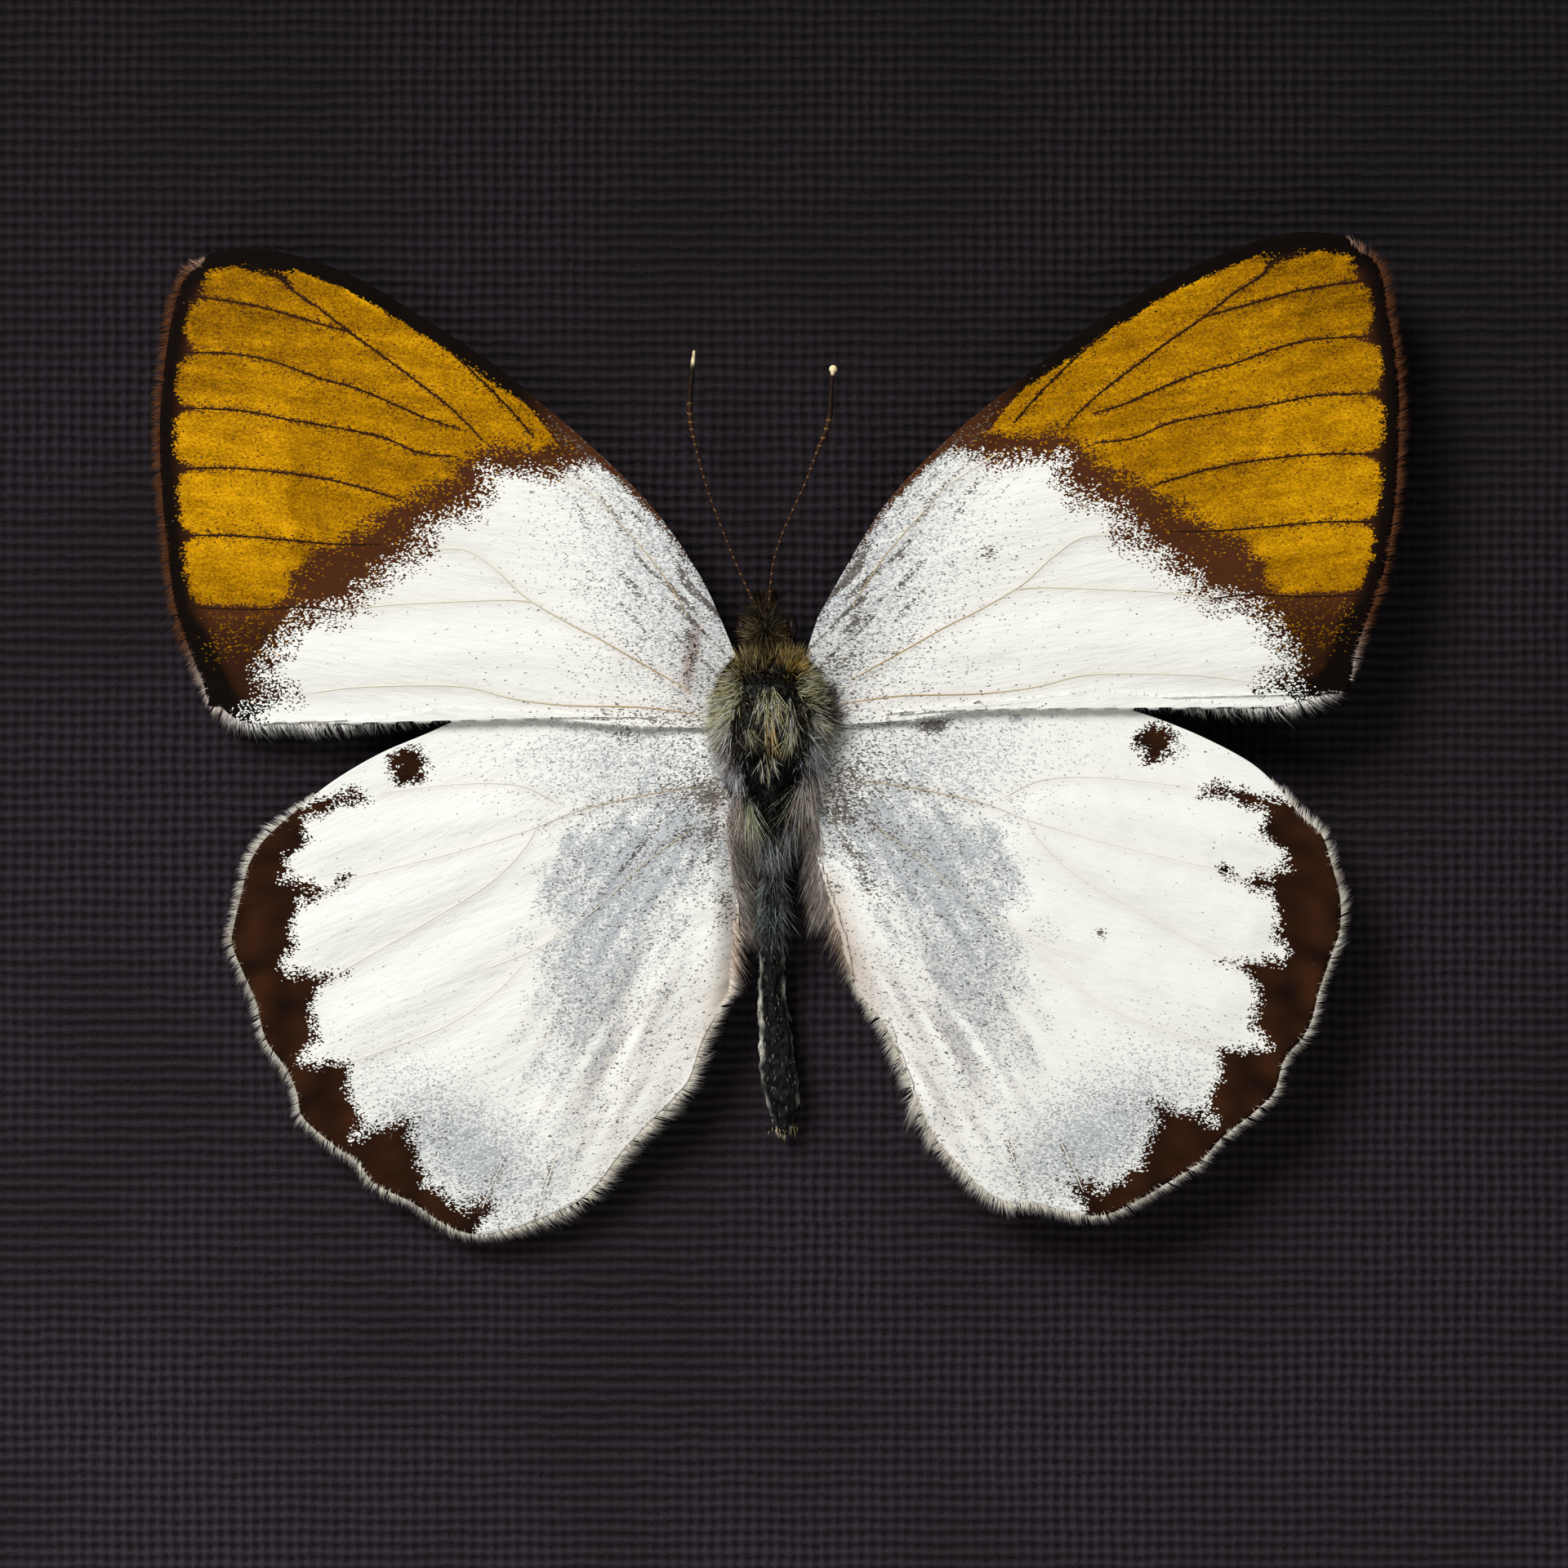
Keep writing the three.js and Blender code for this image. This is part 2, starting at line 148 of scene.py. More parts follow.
HINDWING_FOLDS = [
    ([(-20.5, -3), (-16, -1.9), (-12, -1.2)], 0.6, 0.06),
    ([(-20.5, -6.8), (-16, -4.8), (-11, -3)], 0.9, 0.09),
    ([(-19, -10.6), (-15, -8.4), (-11.5, -6)], 0.9, 0.08),
    ([(-16, -14), (-12.5, -11), (-9, -7)], 1.0, 0.07),
    ([(-10.5, -17), (-9.5, -12), (-7, -7), (-4.5, -3)], 0.8, 0.08),
    ([(-7, -15), (-5.8, -10), (-4, -5)], 0.6, 0.06),
]

# Small marks of use and age: middle, size, turn in degrees, what they change and how much.
MARKS = {
    ("left", "forewing"): [
        ((-4.1, 5.8), (0.95, 0.2), 80, "cream", 1.5), ((-4.1, 5.7), (0.7, 0.16), 80, "white", -0.45),
        ((-4.3, 6.6), (0.3, 0.12), 60, "dust", 0.8), ((-5.6, 2.9), (1.6, 0.2), -4, "dust", 0.3),
        ((-12.0, 18.4), (0.16, 0.1), 20, "dust", 0.9),
    ],
    ("right", "forewing"): [
        ((9.13, 10.29), (0.24, 0.17), 30, "dust", 0.85), ((5.2, 10.18), (0.13, 0.13), 0, "dust", 0.9),
        ((3.2, 7.2), (0.5, 0.25), 60, "dust", 0.6), ((2.6, 5.4), (0.6, 0.2), 30, "dust", 0.5),
    ],
    ("left", "hindwing"): [
        ((-7.1, 2.3), (0.4, 0.22), 0, "dust", 0.5), ((-3.4, -0.6), (0.5, 0.3), 0, "dust", 0.6),
        ((-2.7, -5.3), (0.3, 0.6), 20, "dust", 0.4), ((-6.3, -2.7), (1.6, 0.07), 50, "dust", 0.7),
        ((-3.1, -0.9), (0.5, 0.3), 60, "cream", 0.7), ((-3.2, -2.2), (0.55, 0.3), 40, "dust", 0.5),
    ],
    ("right", "hindwing"): [
        ((6.65, 2.62), (0.34, 0.2), 8, "dust", 1.6), ((10.3, 2.9), (0.15, 0.15), 0, "grey", 1.2),
        ((14.07, -6.62), (0.13, 0.13), 0, "dust", 0.9), ((2.6, -1.2), (0.5, 0.35), 0, "dust", 0.6),
        ((2.9, -2.8), (1.7, 0.2), -61, "dust", 0.34), ((3.7, -4.3), (0.45, 0.25), -55, "dust", 0.4),
        ((2.1, -0.5), (0.5, 0.3), 20, "cream", 0.5),
    ],
}

SPOT_CENTRE = {"left": (-16.8, 0.84), "right": (16.5, 1.8)}
SPOT_RADIUS = 0.85


# ---------------------------------------------------------------- small helpers


def linear(hex_colour):
    """An sRGB hex colour as linear red, green, blue and alpha."""
    channels = [int(hex_colour[i:i + 2], 16) / 255 for i in (1, 3, 5)]
    return (*(c / 12.92 if c <= 0.04045 else ((c + 0.055) / 1.055) ** 2.4 for c in channels), 1.0)


def mixed(a, b, share):
    """Rows of colours between a and b, for an array of shares."""
    share = np.clip(np.asarray(share, float), 0, 1)[..., None]
    return np.asarray(a) * (1 - share) + np.asarray(b) * share


def smoothstep(low, high, value):
    """0 up to low and 1 from high on, with a soft step between. High may lie below low."""
    t = np.clip((value - low) / (high - low), 0, 1)
    return t * t * (3 - 2 * t)


def smooth_line(points, count):
    """Evenly numbered points on a smooth curve through the given ones."""
    points = np.asarray(points, float)
    last = len(points) - 1
    at = np.linspace(0, last, count)
    i = np.minimum(at.astype(int), last - 1)
    t = (at - i)[:, None]
    p0, p1 = points[np.maximum(i - 1, 0)], points[i]
    p2, p3 = points[i + 1], points[np.minimum(i + 2, last)]
    return 0.5 * (2 * p1 + (p2 - p0) * t + (2 * p0 - 5 * p1 + 4 * p2 - p3) * t ** 2
                  + (3 * p1 - p0 - 3 * p2 + p3) * t ** 3)


def line_distance(points, line):
    """Each point's distance to a polyline in the plane."""
    line = np.asarray(line, float)
    start, step = line[:-1], np.diff(line, axis=0)
    length2 = np.maximum((step ** 2).sum(1), 1e-12)
    best = np.full(len(points), np.inf)
    for s, d, l2 in zip(start, step, length2):
        off = points - s
        t = np.clip(off @ d / l2, 0, 1)
        best = np.minimum(best, np.hypot(*(off - t[:, None] * d).T))
    return best


def inside_distance(points, polygon):
    """Each point's distance to a polygon's edge, positive inside it."""
    ring = np.vstack([polygon, polygon[:1]])
    inside = np.zeros(len(points), bool)
    for (x0, y0), (x1, y1) in zip(ring[:-1], ring[1:]):
        if y0 != y1:
            crosses = (y0 > points[:, 1]) != (y1 > points[:, 1])
            inside ^= crosses & (points[:, 0] < (x1 - x0) * (points[:, 1] - y0) / (y1 - y0) + x0)
    return np.where(inside, 1, -1) * line_distance(points, ring)


def blob(points, centre, size, turn_deg=0.0):
    """A soft round patch of strength 1 at its centre."""
    a = math.radians(turn_deg)
    off = points - np.asarray(centre)
    along = off[:, 0] * math.cos(a) + off[:, 1] * math.sin(a)
    across = -off[:, 0] * math.sin(a) + off[:, 1] * math.cos(a)
    return np.exp(-0.5 * ((along / size[0]) ** 2 + (across / size[1]) ** 2))


def waves(points, seed, wavelength, count=24):
    """Smooth noise between about -1 and 1 that doesn't seem to repeat, from seeded sine waves."""
    rng = np.random.default_rng(seed)
    total = np.zeros(len(points))
    for _ in range(count):
        direction = rng.normal(size=points.shape[1])
        direction /= np.linalg.norm(direction)
        size = wavelength * rng.uniform(0.6, 1.7)
        total += np.sin(points @ direction * (2 * math.pi / size) + rng.uniform(0, 2 * math.pi))
    return total * math.sqrt(2 / count) * 0.6


def unit(vectors):
    """The vectors at a length of 1."""
    return vectors / np.linalg.norm(vectors, axis=1, keepdims=True)


def place(name, mesh, slot, *replaced, material=None, smooth=True):
    """Puts a finished mesh in the scene as a piece of the object."""
    piece = bpy.data.objects.new(name, mesh)
    bpy.context.scene.collection.objects.link(piece)
    if material:
        mesh.materials.clear()
        mesh.materials.append(material)
    mesh.shade_smooth() if smooth else mesh.shade_flat()
    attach(piece, "root")
    if replaced:
        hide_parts(*replaced)
    return piece


def set_points(mesh, points_mm):
    """Moves a mesh's vertices to points in millimetres."""
    mesh.vertices.foreach_set("co", (np.asarray(points_mm) * MM).astype(np.float32).ravel())
    mesh.update()


def get_points(mesh):
    """A mesh's vertices in millimetres."""
    points = np.empty(len(mesh.vertices) * 3, np.float32)
    mesh.vertices.foreach_get("co", points)
    return points.reshape(-1, 3).astype(float) / MM


def get_normals(mesh):
    """The outward direction at each vertex of a mesh."""
    normals = np.empty(len(mesh.vertices) * 3, np.float32)
    mesh.vertices.foreach_get("normal", normals)
    return normals.reshape(-1, 3)


def set_field(mesh, name, values):
    """Stores one number, or one colour, for each vertex."""
    values = np.asarray(values, np.float32)
    if values.ndim == 1:
        mesh.attributes.new(name, "FLOAT", "POINT").data.foreach_set("value", values)
    else:
        mesh.attributes.new(name, "FLOAT_COLOR", "POINT").data.foreach_set("color", values.ravel())


def packed_copy(node):
    """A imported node's shell as a bmesh with its loose triangles joined up."""
    bm = bmesh.new()
    bm.from_mesh(NODES[node].data)
    bmesh.ops.remove_doubles(bm, verts=bm.verts, dist=1e-6)
    bm.normal_update()
    return bm


def refined_copy(node, name, levels):
    """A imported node's shell, smoothed and refined, as a mesh of its own."""
    bm = packed_copy(node)
    bmesh.ops.join_triangles(bm, faces=bm.faces, angle_face_threshold=1.2, angle_shape_threshold=1.2)
    mesh = bpy.data.meshes.new(name)
    bm.to_mesh(mesh)
    bm.free()
    helper = bpy.data.objects.new(name, mesh)
    bpy.context.scene.collection.objects.link(helper)
    refine = helper.modifiers.new("refine", "SUBSURF")
    refine.levels = refine.render_levels = levels
    bpy.context.view_layer.update()
    refined = bpy.data.meshes.new_from_object(helper.evaluated_get(bpy.context.evaluated_depsgraph_get()))
    bpy.data.objects.remove(helper)
    bpy.data.meshes.remove(mesh)
    refined.name = name
    return refined


# ---------------------------------------------------------------- materials


def add(tree, kind, links=None, **settings):
    """Adds a node with its settings, then its inputs, given as values or as the sockets that feed them."""
    made = tree.nodes.new(kind)
    for key, value in settings.items():
        setattr(made, key, value)
    for key, value in (links or {}).items():
        if isinstance(value, bpy.types.NodeSocket):
            tree.links.new(value, made.inputs[key])
        else:
            made.inputs[key].default_value = value
    return made


def new_material(name, **constants):
    """A material with its shader node, whose constants are set on its own sockets."""
    material = bpy.data.materials.new(name)
    material.use_nodes = True
    tree = material.node_tree
    shader = tree.nodes["Principled BSDF"]
    for key, value in constants.items():
        shader.inputs[key.replace("_", " ")].default_value = value
    return material, tree, shader


def wing_scales(kind, turn_deg):
    """Overlapping powdery scales on a dry membrane: each is one colour, so that every edge is stippled."""
    material, tree, shader = new_material("wing_scales_" + kind, Roughness=0.75, IOR=1.45, Specular_IOR_Level=0.05)
    spot = add(tree, "ShaderNodeTexCoord").outputs["Object"]
    turned = add(tree, "ShaderNodeMapping", {
        "Vector": spot, "Rotation": Euler((0, 0, math.radians(-turn_deg))),
        "Scale": (1 / (WING_SCALE_LENGTH * MM), 1 / (WING_SCALE_WIDTH * MM), 1 / (3 * MM))}).outputs[0]
    cell = add(tree, "ShaderNodeTexVoronoi", {"Vector": turned, "Scale": 1.0}, voronoi_dimensions="2D")
    draw = add(tree, "ShaderNodeSeparateColor", {"Color": cell.outputs["Color"]})
    longer = add(tree, "ShaderNodeMapping", {"Vector": turned, "Scale": (0.85, 1.05, 1)}).outputs[0]
    fleck_cell = add(tree, "ShaderNodeTexVoronoi", {"Vector": longer, "Scale": 1.0}, voronoi_dimensions="2D")
    fleck = add(tree, "ShaderNodeSeparateColor", {"Color": fleck_cell.outputs["Color"]})
    drawn_out = add(tree, "ShaderNodeMapping", {"Vector": turned, "Scale": (0.3, 1, 1)}).outputs[0]
    streak = add(tree, "ShaderNodeTexNoise", {"Vector": drawn_out, "Scale": 0.075, "Detail": 6.0, "Roughness": 0.68})
    field = {n: add(tree, "ShaderNodeAttribute", attribute_name=n).outputs["Fac"]
             for n in ("orange", "white", "dust", "tone_and_painted_sheen", "grey", "black", "cream")}
    chosen = {}
    for n, drawn in (("orange", draw.outputs["Red"]), ("white", draw.outputs["Green"]),
                     ("dust", fleck.outputs["Red"]), ("grey", fleck.outputs["Green"])):
        chosen[n] = add(tree, "ShaderNodeMath", {0: field[n], 1: drawn}, operation="GREATER_THAN").outputs[0]

    # brightness of the orange scales: fibre streaks, each scale's own draw, and the wing's tone with its painted
    # sheen
    orange_tone_and_sheen = add(tree, "ShaderNodeMath", {0: streak.outputs["Fac"], 1: 1.25, 2: field["tone_and_painted_sheen"]}, operation="MULTIPLY_ADD")
    orange_tone_and_sheen = add(tree, "ShaderNodeMath", {0: draw.outputs["Blue"], 1: 0.5, 2: orange_tone_and_sheen.outputs[0]}, operation="MULTIPLY_ADD")
    orange_tone_and_sheen = add(tree, "ShaderNodeMath", {0: orange_tone_and_sheen.outputs[0], 1: 0.875}, operation="SUBTRACT")
    orange = add(tree, "ShaderNodeValToRGB", {"Fac": orange_tone_and_sheen.outputs[0]})
    orange.color_ramp.elements[0].color = linear("#643f00")
    orange.color_ramp.elements[1].color = linear("#e0a308")
    orange.color_ramp.elements.new(0.5).color = linear("#a67200")
    brown = add(tree, "ShaderNodeMix", {"Factor": field["black"], "A": linear("#4a2814"), "B": linear("#0d0704")},
                data_type="RGBA")
    brown = add(tree, "ShaderNodeMix", {"Factor": 0.22, "A": brown.outputs["Result"], "B": streak.outputs["Fac"]},
                data_type="RGBA", blend_type="OVERLAY")
    # cream: tan on the veins and stains, and painted shade along a hindwing's inner margin
    pale = add(tree, "ShaderNodeMix", {"Factor": field["cream"], "A": linear("#edede6"), "B": linear("#a58a74")},
               data_type="RGBA")
    grey = add(tree, "ShaderNodeMix", {"Factor": fleck.outputs["Blue"], "A": linear("#6a7078"),
                                       "B": linear("#c2c6c8")}, data_type="RGBA")
    half = add(tree, "ShaderNodeMath", {0: chosen["grey"], 1: 0.72}, operation="MULTIPLY")
    pale = add(tree, "ShaderNodeMix", {"Factor": half.outputs[0], "A": pale.outputs["Result"],
                                       "B": grey.outputs["Result"]}, data_type="RGBA")
    washed = add(tree, "ShaderNodeMath", {0: field["grey"], 1: 0.3}, operation="MULTIPLY")
    pale = add(tree, "ShaderNodeMix", {"Factor": washed.outputs[0], "A": pale.outputs["Result"],
                                       "B": linear("#959da6")}, data_type="RGBA")
    pale = add(tree, "ShaderNodeMix", {"Factor": 0.2, "A": pale.outputs["Result"], "B": streak.outputs["Fac"]},
               data_type="RGBA", blend_type="SOFT_LIGHT")
    ground = add(tree, "ShaderNodeMix", {"Factor": chosen["orange"], "A": brown.outputs["Result"],
                                         "B": orange.outputs["Color"]}, data_type="RGBA")
    ground = add(tree, "ShaderNodeMix", {"Factor": chosen["white"], "A": ground.outputs["Result"],
                                         "B": pale.outputs["Result"]}, data_type="RGBA")
    soot = add(tree, "ShaderNodeMix", {"Factor": fleck.outputs["Blue"], "A": linear("#1a110c"),
                                       "B": linear("#756c62")}, data_type="RGBA")
    speck = add(tree, "ShaderNodeMath", {0: chosen["dust"], 1: 0.9}, operation="MULTIPLY")
    coat = add(tree, "ShaderNodeMix", {"Factor": speck.outputs[0], "A": ground.outputs["Result"],
                                       "B": soot.outputs["Result"]}, data_type="RGBA")
    tree.links.new(coat.outputs["Result"], shader.inputs["Base Color"])
    bump = add(tree, "ShaderNodeBump", {"Height": cell.outputs["Distance"], "Strength": 0.3,
                                        "Distance": 0.01 * MM})
    broad = add(tree, "ShaderNodeBump", {"Height": streak.outputs["Fac"], "Strength": 0.75,
                                         "Distance": 0.16 * MM, "Normal": bump.outputs["Normal"]})
    tree.links.new(broad.outputs["Normal"], shader.inputs["Normal"])
    return material


def tinted_hair(name, roughness):
    """Fine hair: each strand carries its own colour, from root to tip."""
    material, tree, shader = new_material(name, Roughness=roughness, IOR=1.5, Specular_IOR_Level=0.06)
    tint = add(tree, "ShaderNodeAttribute", attribute_name="tint")
    tree.links.new(tint.outputs["Color"], shader.inputs["Base Color"])
    return material


def linen_card():
    """Dark dyed card rolled with a linen emboss: crossed threads a little over half a millimetre apart."""
    material, tree, shader = new_material("linen_embossed_card", Roughness=0.6, IOR=1.45, Specular_IOR_Level=0.12)
    spot = add(tree, "ShaderNodeTexCoord").outputs["Object"]
    wander = add(tree, "ShaderNodeTexNoise", {"Vector": spot, "Scale": 1 / (3.5 * MM), "Detail": 2.0})
    shifted = add(tree, "ShaderNodeVectorMath", {0: wander.outputs["Color"], 1: (0.14 * MM, 0.14 * MM, 0), 2: spot},
                  operation="MULTIPLY_ADD")
    threads = {}
    for axis, pitch in THREAD_PITCH.items():
        threads[axis] = add(tree, "ShaderNodeTexWave", {
            "Vector": shifted.outputs[0], "Scale": WAVE_REPEAT / (pitch * MM), "Distortion": 1.5,
            "Detail": 2.0, "Detail Scale": 1.2}, bands_direction=axis, wave_profile="SIN").outputs["Fac"]
    patch = add(tree, "ShaderNodeTexNoise", {"Vector": spot, "Scale": 1 / (11 * MM), "Detail": 1.0})
    share = add(tree, "ShaderNodeMapRange", {"Value": patch.outputs["Fac"], "From Min": 0.35, "From Max": 0.65,
                                             "To Min": 0.15, "To Max": 0.95})
    weft = add(tree, "ShaderNodeMath", {0: threads["X"], 1: share.outputs[0]}, operation="MULTIPLY")
    weave = add(tree, "ShaderNodeMath", {0: weft.outputs[0], 1: threads["Y"]}, operation="ADD")
    facing = add(tree, "ShaderNodeSeparateXYZ", {"Vector": add(tree, "ShaderNodeNewGeometry").outputs["True Normal"]})
    face = add(tree, "ShaderNodeMath", {0: facing.outputs["Z"]}, operation="ABSOLUTE")  # cut edges show no emboss
    face = add(tree, "ShaderNodeMath", {0: face.outputs[0], 1: 0.5}, operation="GREATER_THAN")
    weave = add(tree, "ShaderNodeMath", {0: weave.outputs[0], 1: face.outputs[0]}, operation="MULTIPLY")
    fibre = add(tree, "ShaderNodeTexNoise", {"Vector": spot, "Scale": 1 / (0.09 * MM), "Detail": 3.0,
                                             "Roughness": 0.75})
    tone = add(tree, "ShaderNodeMath", {0: fibre.outputs["Fac"], 1: 2.6, 2: weave.outputs[0]},
               operation="MULTIPLY_ADD")
    tone = add(tree, "ShaderNodeMapRange", {"Value": tone.outputs[0], "From Min": 1.35, "From Max": 2.85})
    ramp = add(tree, "ShaderNodeValToRGB", {"Fac": tone.outputs[0]})
    ramp.color_ramp.elements[0].color = linear("#110d10")
    ramp.color_ramp.elements[1].color = linear("#342c34")
    across = add(tree, "ShaderNodeSeparateXYZ", {"Vector": spot})  # painted light falloff: the card is darker towards the top and towards the right
    painted_light_falloff = add(tree, "ShaderNodeMapRange", {"Value": across.outputs["Y"], "From Min": 38 * MM, "From Max": -38 * MM,
                                             "To Min": 0.4, "To Max": 1.12})
    painted_side_falloff = add(tree, "ShaderNodeMapRange", {"Value": across.outputs["X"], "From Min": -38 * MM,
                                                "From Max": 38 * MM, "To Min": 1.02, "To Max": 0.8})
    painted_light_falloff = add(tree, "ShaderNodeMath", {0: painted_light_falloff.outputs[0], 1: painted_side_falloff.outputs[0]}, operation="MULTIPLY")
    painted_falloff_colour = add(tree, "ShaderNodeVectorMath", {0: ramp.outputs["Color"], "Scale": painted_light_falloff.outputs[0]}, operation="SCALE")
    tree.links.new(painted_falloff_colour.outputs[0], shader.inputs["Base Color"])
    height = add(tree, "ShaderNodeMath", {0: fibre.outputs["Fac"], 1: 0.8, 2: weave.outputs[0]},
                 operation="MULTIPLY_ADD")
    bump = add(tree, "ShaderNodeBump", {"Height": height.outputs[0], "Strength": 0.9, "Distance": 0.09 * MM})
    tree.links.new(bump.outputs["Normal"], shader.inputs["Normal"])
    return material


def antenna_horn():
    """Dark horn of an antenna: fine pale rings down the shaft, and a pale worn tip on the club."""
    material, tree, shader = new_material("antenna_horn", Roughness=0.6, IOR=1.56, Specular_IOR_Level=0.12)
    spot = add(tree, "ShaderNodeTexCoord").outputs["Object"]
    ring = add(tree, "ShaderNodeTexWave", {"Vector": spot, "Scale": WAVE_REPEAT / (0.36 * MM),
                                           "Distortion": 4.0, "Detail": 3.0}, bands_direction="Y", wave_profile="SAW")
    ramp = add(tree, "ShaderNodeValToRGB", {"Fac": ring.outputs["Fac"]})
    ramp.color_ramp.elements[0].position = 0.75
    ramp.color_ramp.elements[0].color = linear("#2c190c")
    ramp.color_ramp.elements[1].position = 1.0
    ramp.color_ramp.elements[1].color = linear("#8a6636")
    club = add(tree, "ShaderNodeAttribute", attribute_name="club")
    tip = add(tree, "ShaderNodeAttribute", attribute_name="tip")
    dark = add(tree, "ShaderNodeMix", {"Factor": club.outputs["Fac"], "A": ramp.outputs["Color"],
                                       "B": linear("#1b0d06")}, data_type="RGBA")
    worn = add(tree, "ShaderNodeMix", {"Factor": tip.outputs["Fac"], "A": dark.outputs["Result"],
                                       "B": linear("#f0dcae")}, data_type="RGBA")
    tree.links.new(worn.outputs["Result"], shader.inputs["Base Color"])
    bump = add(tree, "ShaderNodeBump", {"Height": ring.outputs["Fac"], "Strength": 0.4, "Distance": 0.02 * MM})
    tree.links.new(bump.outputs["Normal"], shader.inputs["Normal"])
    return material


def chitin(name, hex_dark, hex_light, roughness):
    """Dry insect skin: hard, horny and faintly glossy."""
    material, tree, shader = new_material(name, Roughness=roughness, IOR=1.56)
    spot = add(tree, "ShaderNodeTexCoord").outputs["Object"]
    mottle = add(tree, "ShaderNodeTexNoise", {"Vector": spot, "Scale": 1 / (0.25 * MM), "Detail": 5.0})
    ramp = add(tree, "ShaderNodeValToRGB", {"Fac": mottle.outputs["Fac"]})
    ramp.color_ramp.elements[0].position = 0.3
    ramp.color_ramp.elements[0].color = linear(hex_dark)
    ramp.color_ramp.elements[1].position = 0.75
    ramp.color_ramp.elements[1].color = linear(hex_light)
    tree.links.new(ramp.outputs["Color"], shader.inputs["Base Color"])
    bump = add(tree, "ShaderNodeBump", {"Height": mottle.outputs["Fac"], "Strength": 0.5, "Distance": 0.04 * MM})
    tree.links.new(bump.outputs["Normal"], shader.inputs["Normal"])
    return material


def compound_eye():
    """An insect's eye: glossy, dark red-brown, made of fine facets."""
    material, tree, shader = new_material("compound_eye", Roughness=0.4, IOR=1.5, Specular_IOR_Level=0.25)
    spot = add(tree, "ShaderNodeTexCoord").outputs["Object"]
    facets = add(tree, "ShaderNodeTexVoronoi", {"Vector": spot, "Scale": 1 / (0.045 * MM)})
    ramp = add(tree, "ShaderNodeValToRGB", {"Fac": facets.outputs["Distance"]})
    ramp.color_ramp.elements[0].color = linear("#241009")
    ramp.color_ramp.elements[1].color = linear("#0b0504")
    tree.links.new(ramp.outputs["Color"], shader.inputs["Base Color"])
    bump = add(tree, "ShaderNodeBump", {"Height": facets.outputs["Distance"], "Strength": 0.4,
                                        "Distance": 0.01 * MM}, invert=True)
    tree.links.new(bump.outputs["Normal"], shader.inputs["Normal"])
    return material


# ---------------------------------------------------------------- hair


def strands(name, roots, tips, bow, width, root_tint, tip_tint, rings=3):
    """One mesh of three-sided tapering hairs, each from its root to its tip, bowed by its own vector between them."""
    roots, tips = np.asarray(roots, float), np.asarray(tips, float)
    count = len(roots)
    width = np.broadcast_to(width, (count,))
    along = tips - roots
    length = np.maximum(np.linalg.norm(along, axis=1, keepdims=True), 1e-9)
    upright = np.tile([0.0, 0.0, 1.0], (count, 1))
    side = np.cross(along / length, upright)
    flat = np.linalg.norm(side, axis=1) < 1e-3
    side[flat] = [1.0, 0.0, 0.0]
    side /= np.linalg.norm(side, axis=1, keepdims=True)
    over = np.cross(side, along / length)
    share = np.linspace(0, 1, rings + 1)
    points = np.empty((count, 3 * rings + 1, 3))
    tint = np.empty((count, 3 * rings + 1, 4))
    for k, t in enumerate(share):
        centre = roots + along * t + np.asarray(bow) * (4 * t * (1 - t))
        colour = np.asarray(root_tint) * (1 - t) + np.asarray(tip_tint) * t
        if k == rings:
            points[:, -1], tint[:, -1] = centre, colour
            continue
        radius = (width * (1 - 0.75 * t) / 2)[:, None]
        for j in range(3):
            angle = math.radians(90 + 120 * j)
            points[:, 3 * k + j] = centre + radius * (side * math.cos(angle) + over * math.sin(angle))
            tint[:, 3 * k + j] = colour
    faces = []
    for k in range(rings - 1):
        for j in range(3):
            a, b = 3 * k + j, 3 * k + (j + 1) % 3
            faces += [(b + 3, b, a), (a + 3, b + 3, a)]
    last = 3 * (rings - 1)
    faces += [(3 * rings, last + (j + 1) % 3, last + j) for j in range(3)]
    faces.append((0, 1, 2))
    every = (np.asarray(faces)[None] + (np.arange(count) * (3 * rings + 1))[:, None, None]).reshape(-1, 3)
    mesh = bpy.data.meshes.new(name)
    mesh.from_pydata((points.reshape(-1, 3) * MM).tolist(), [], every.tolist())
    set_field(mesh, "tint", tint.reshape(-1, 4))
    return mesh


# ---------------------------------------------------------------- wings


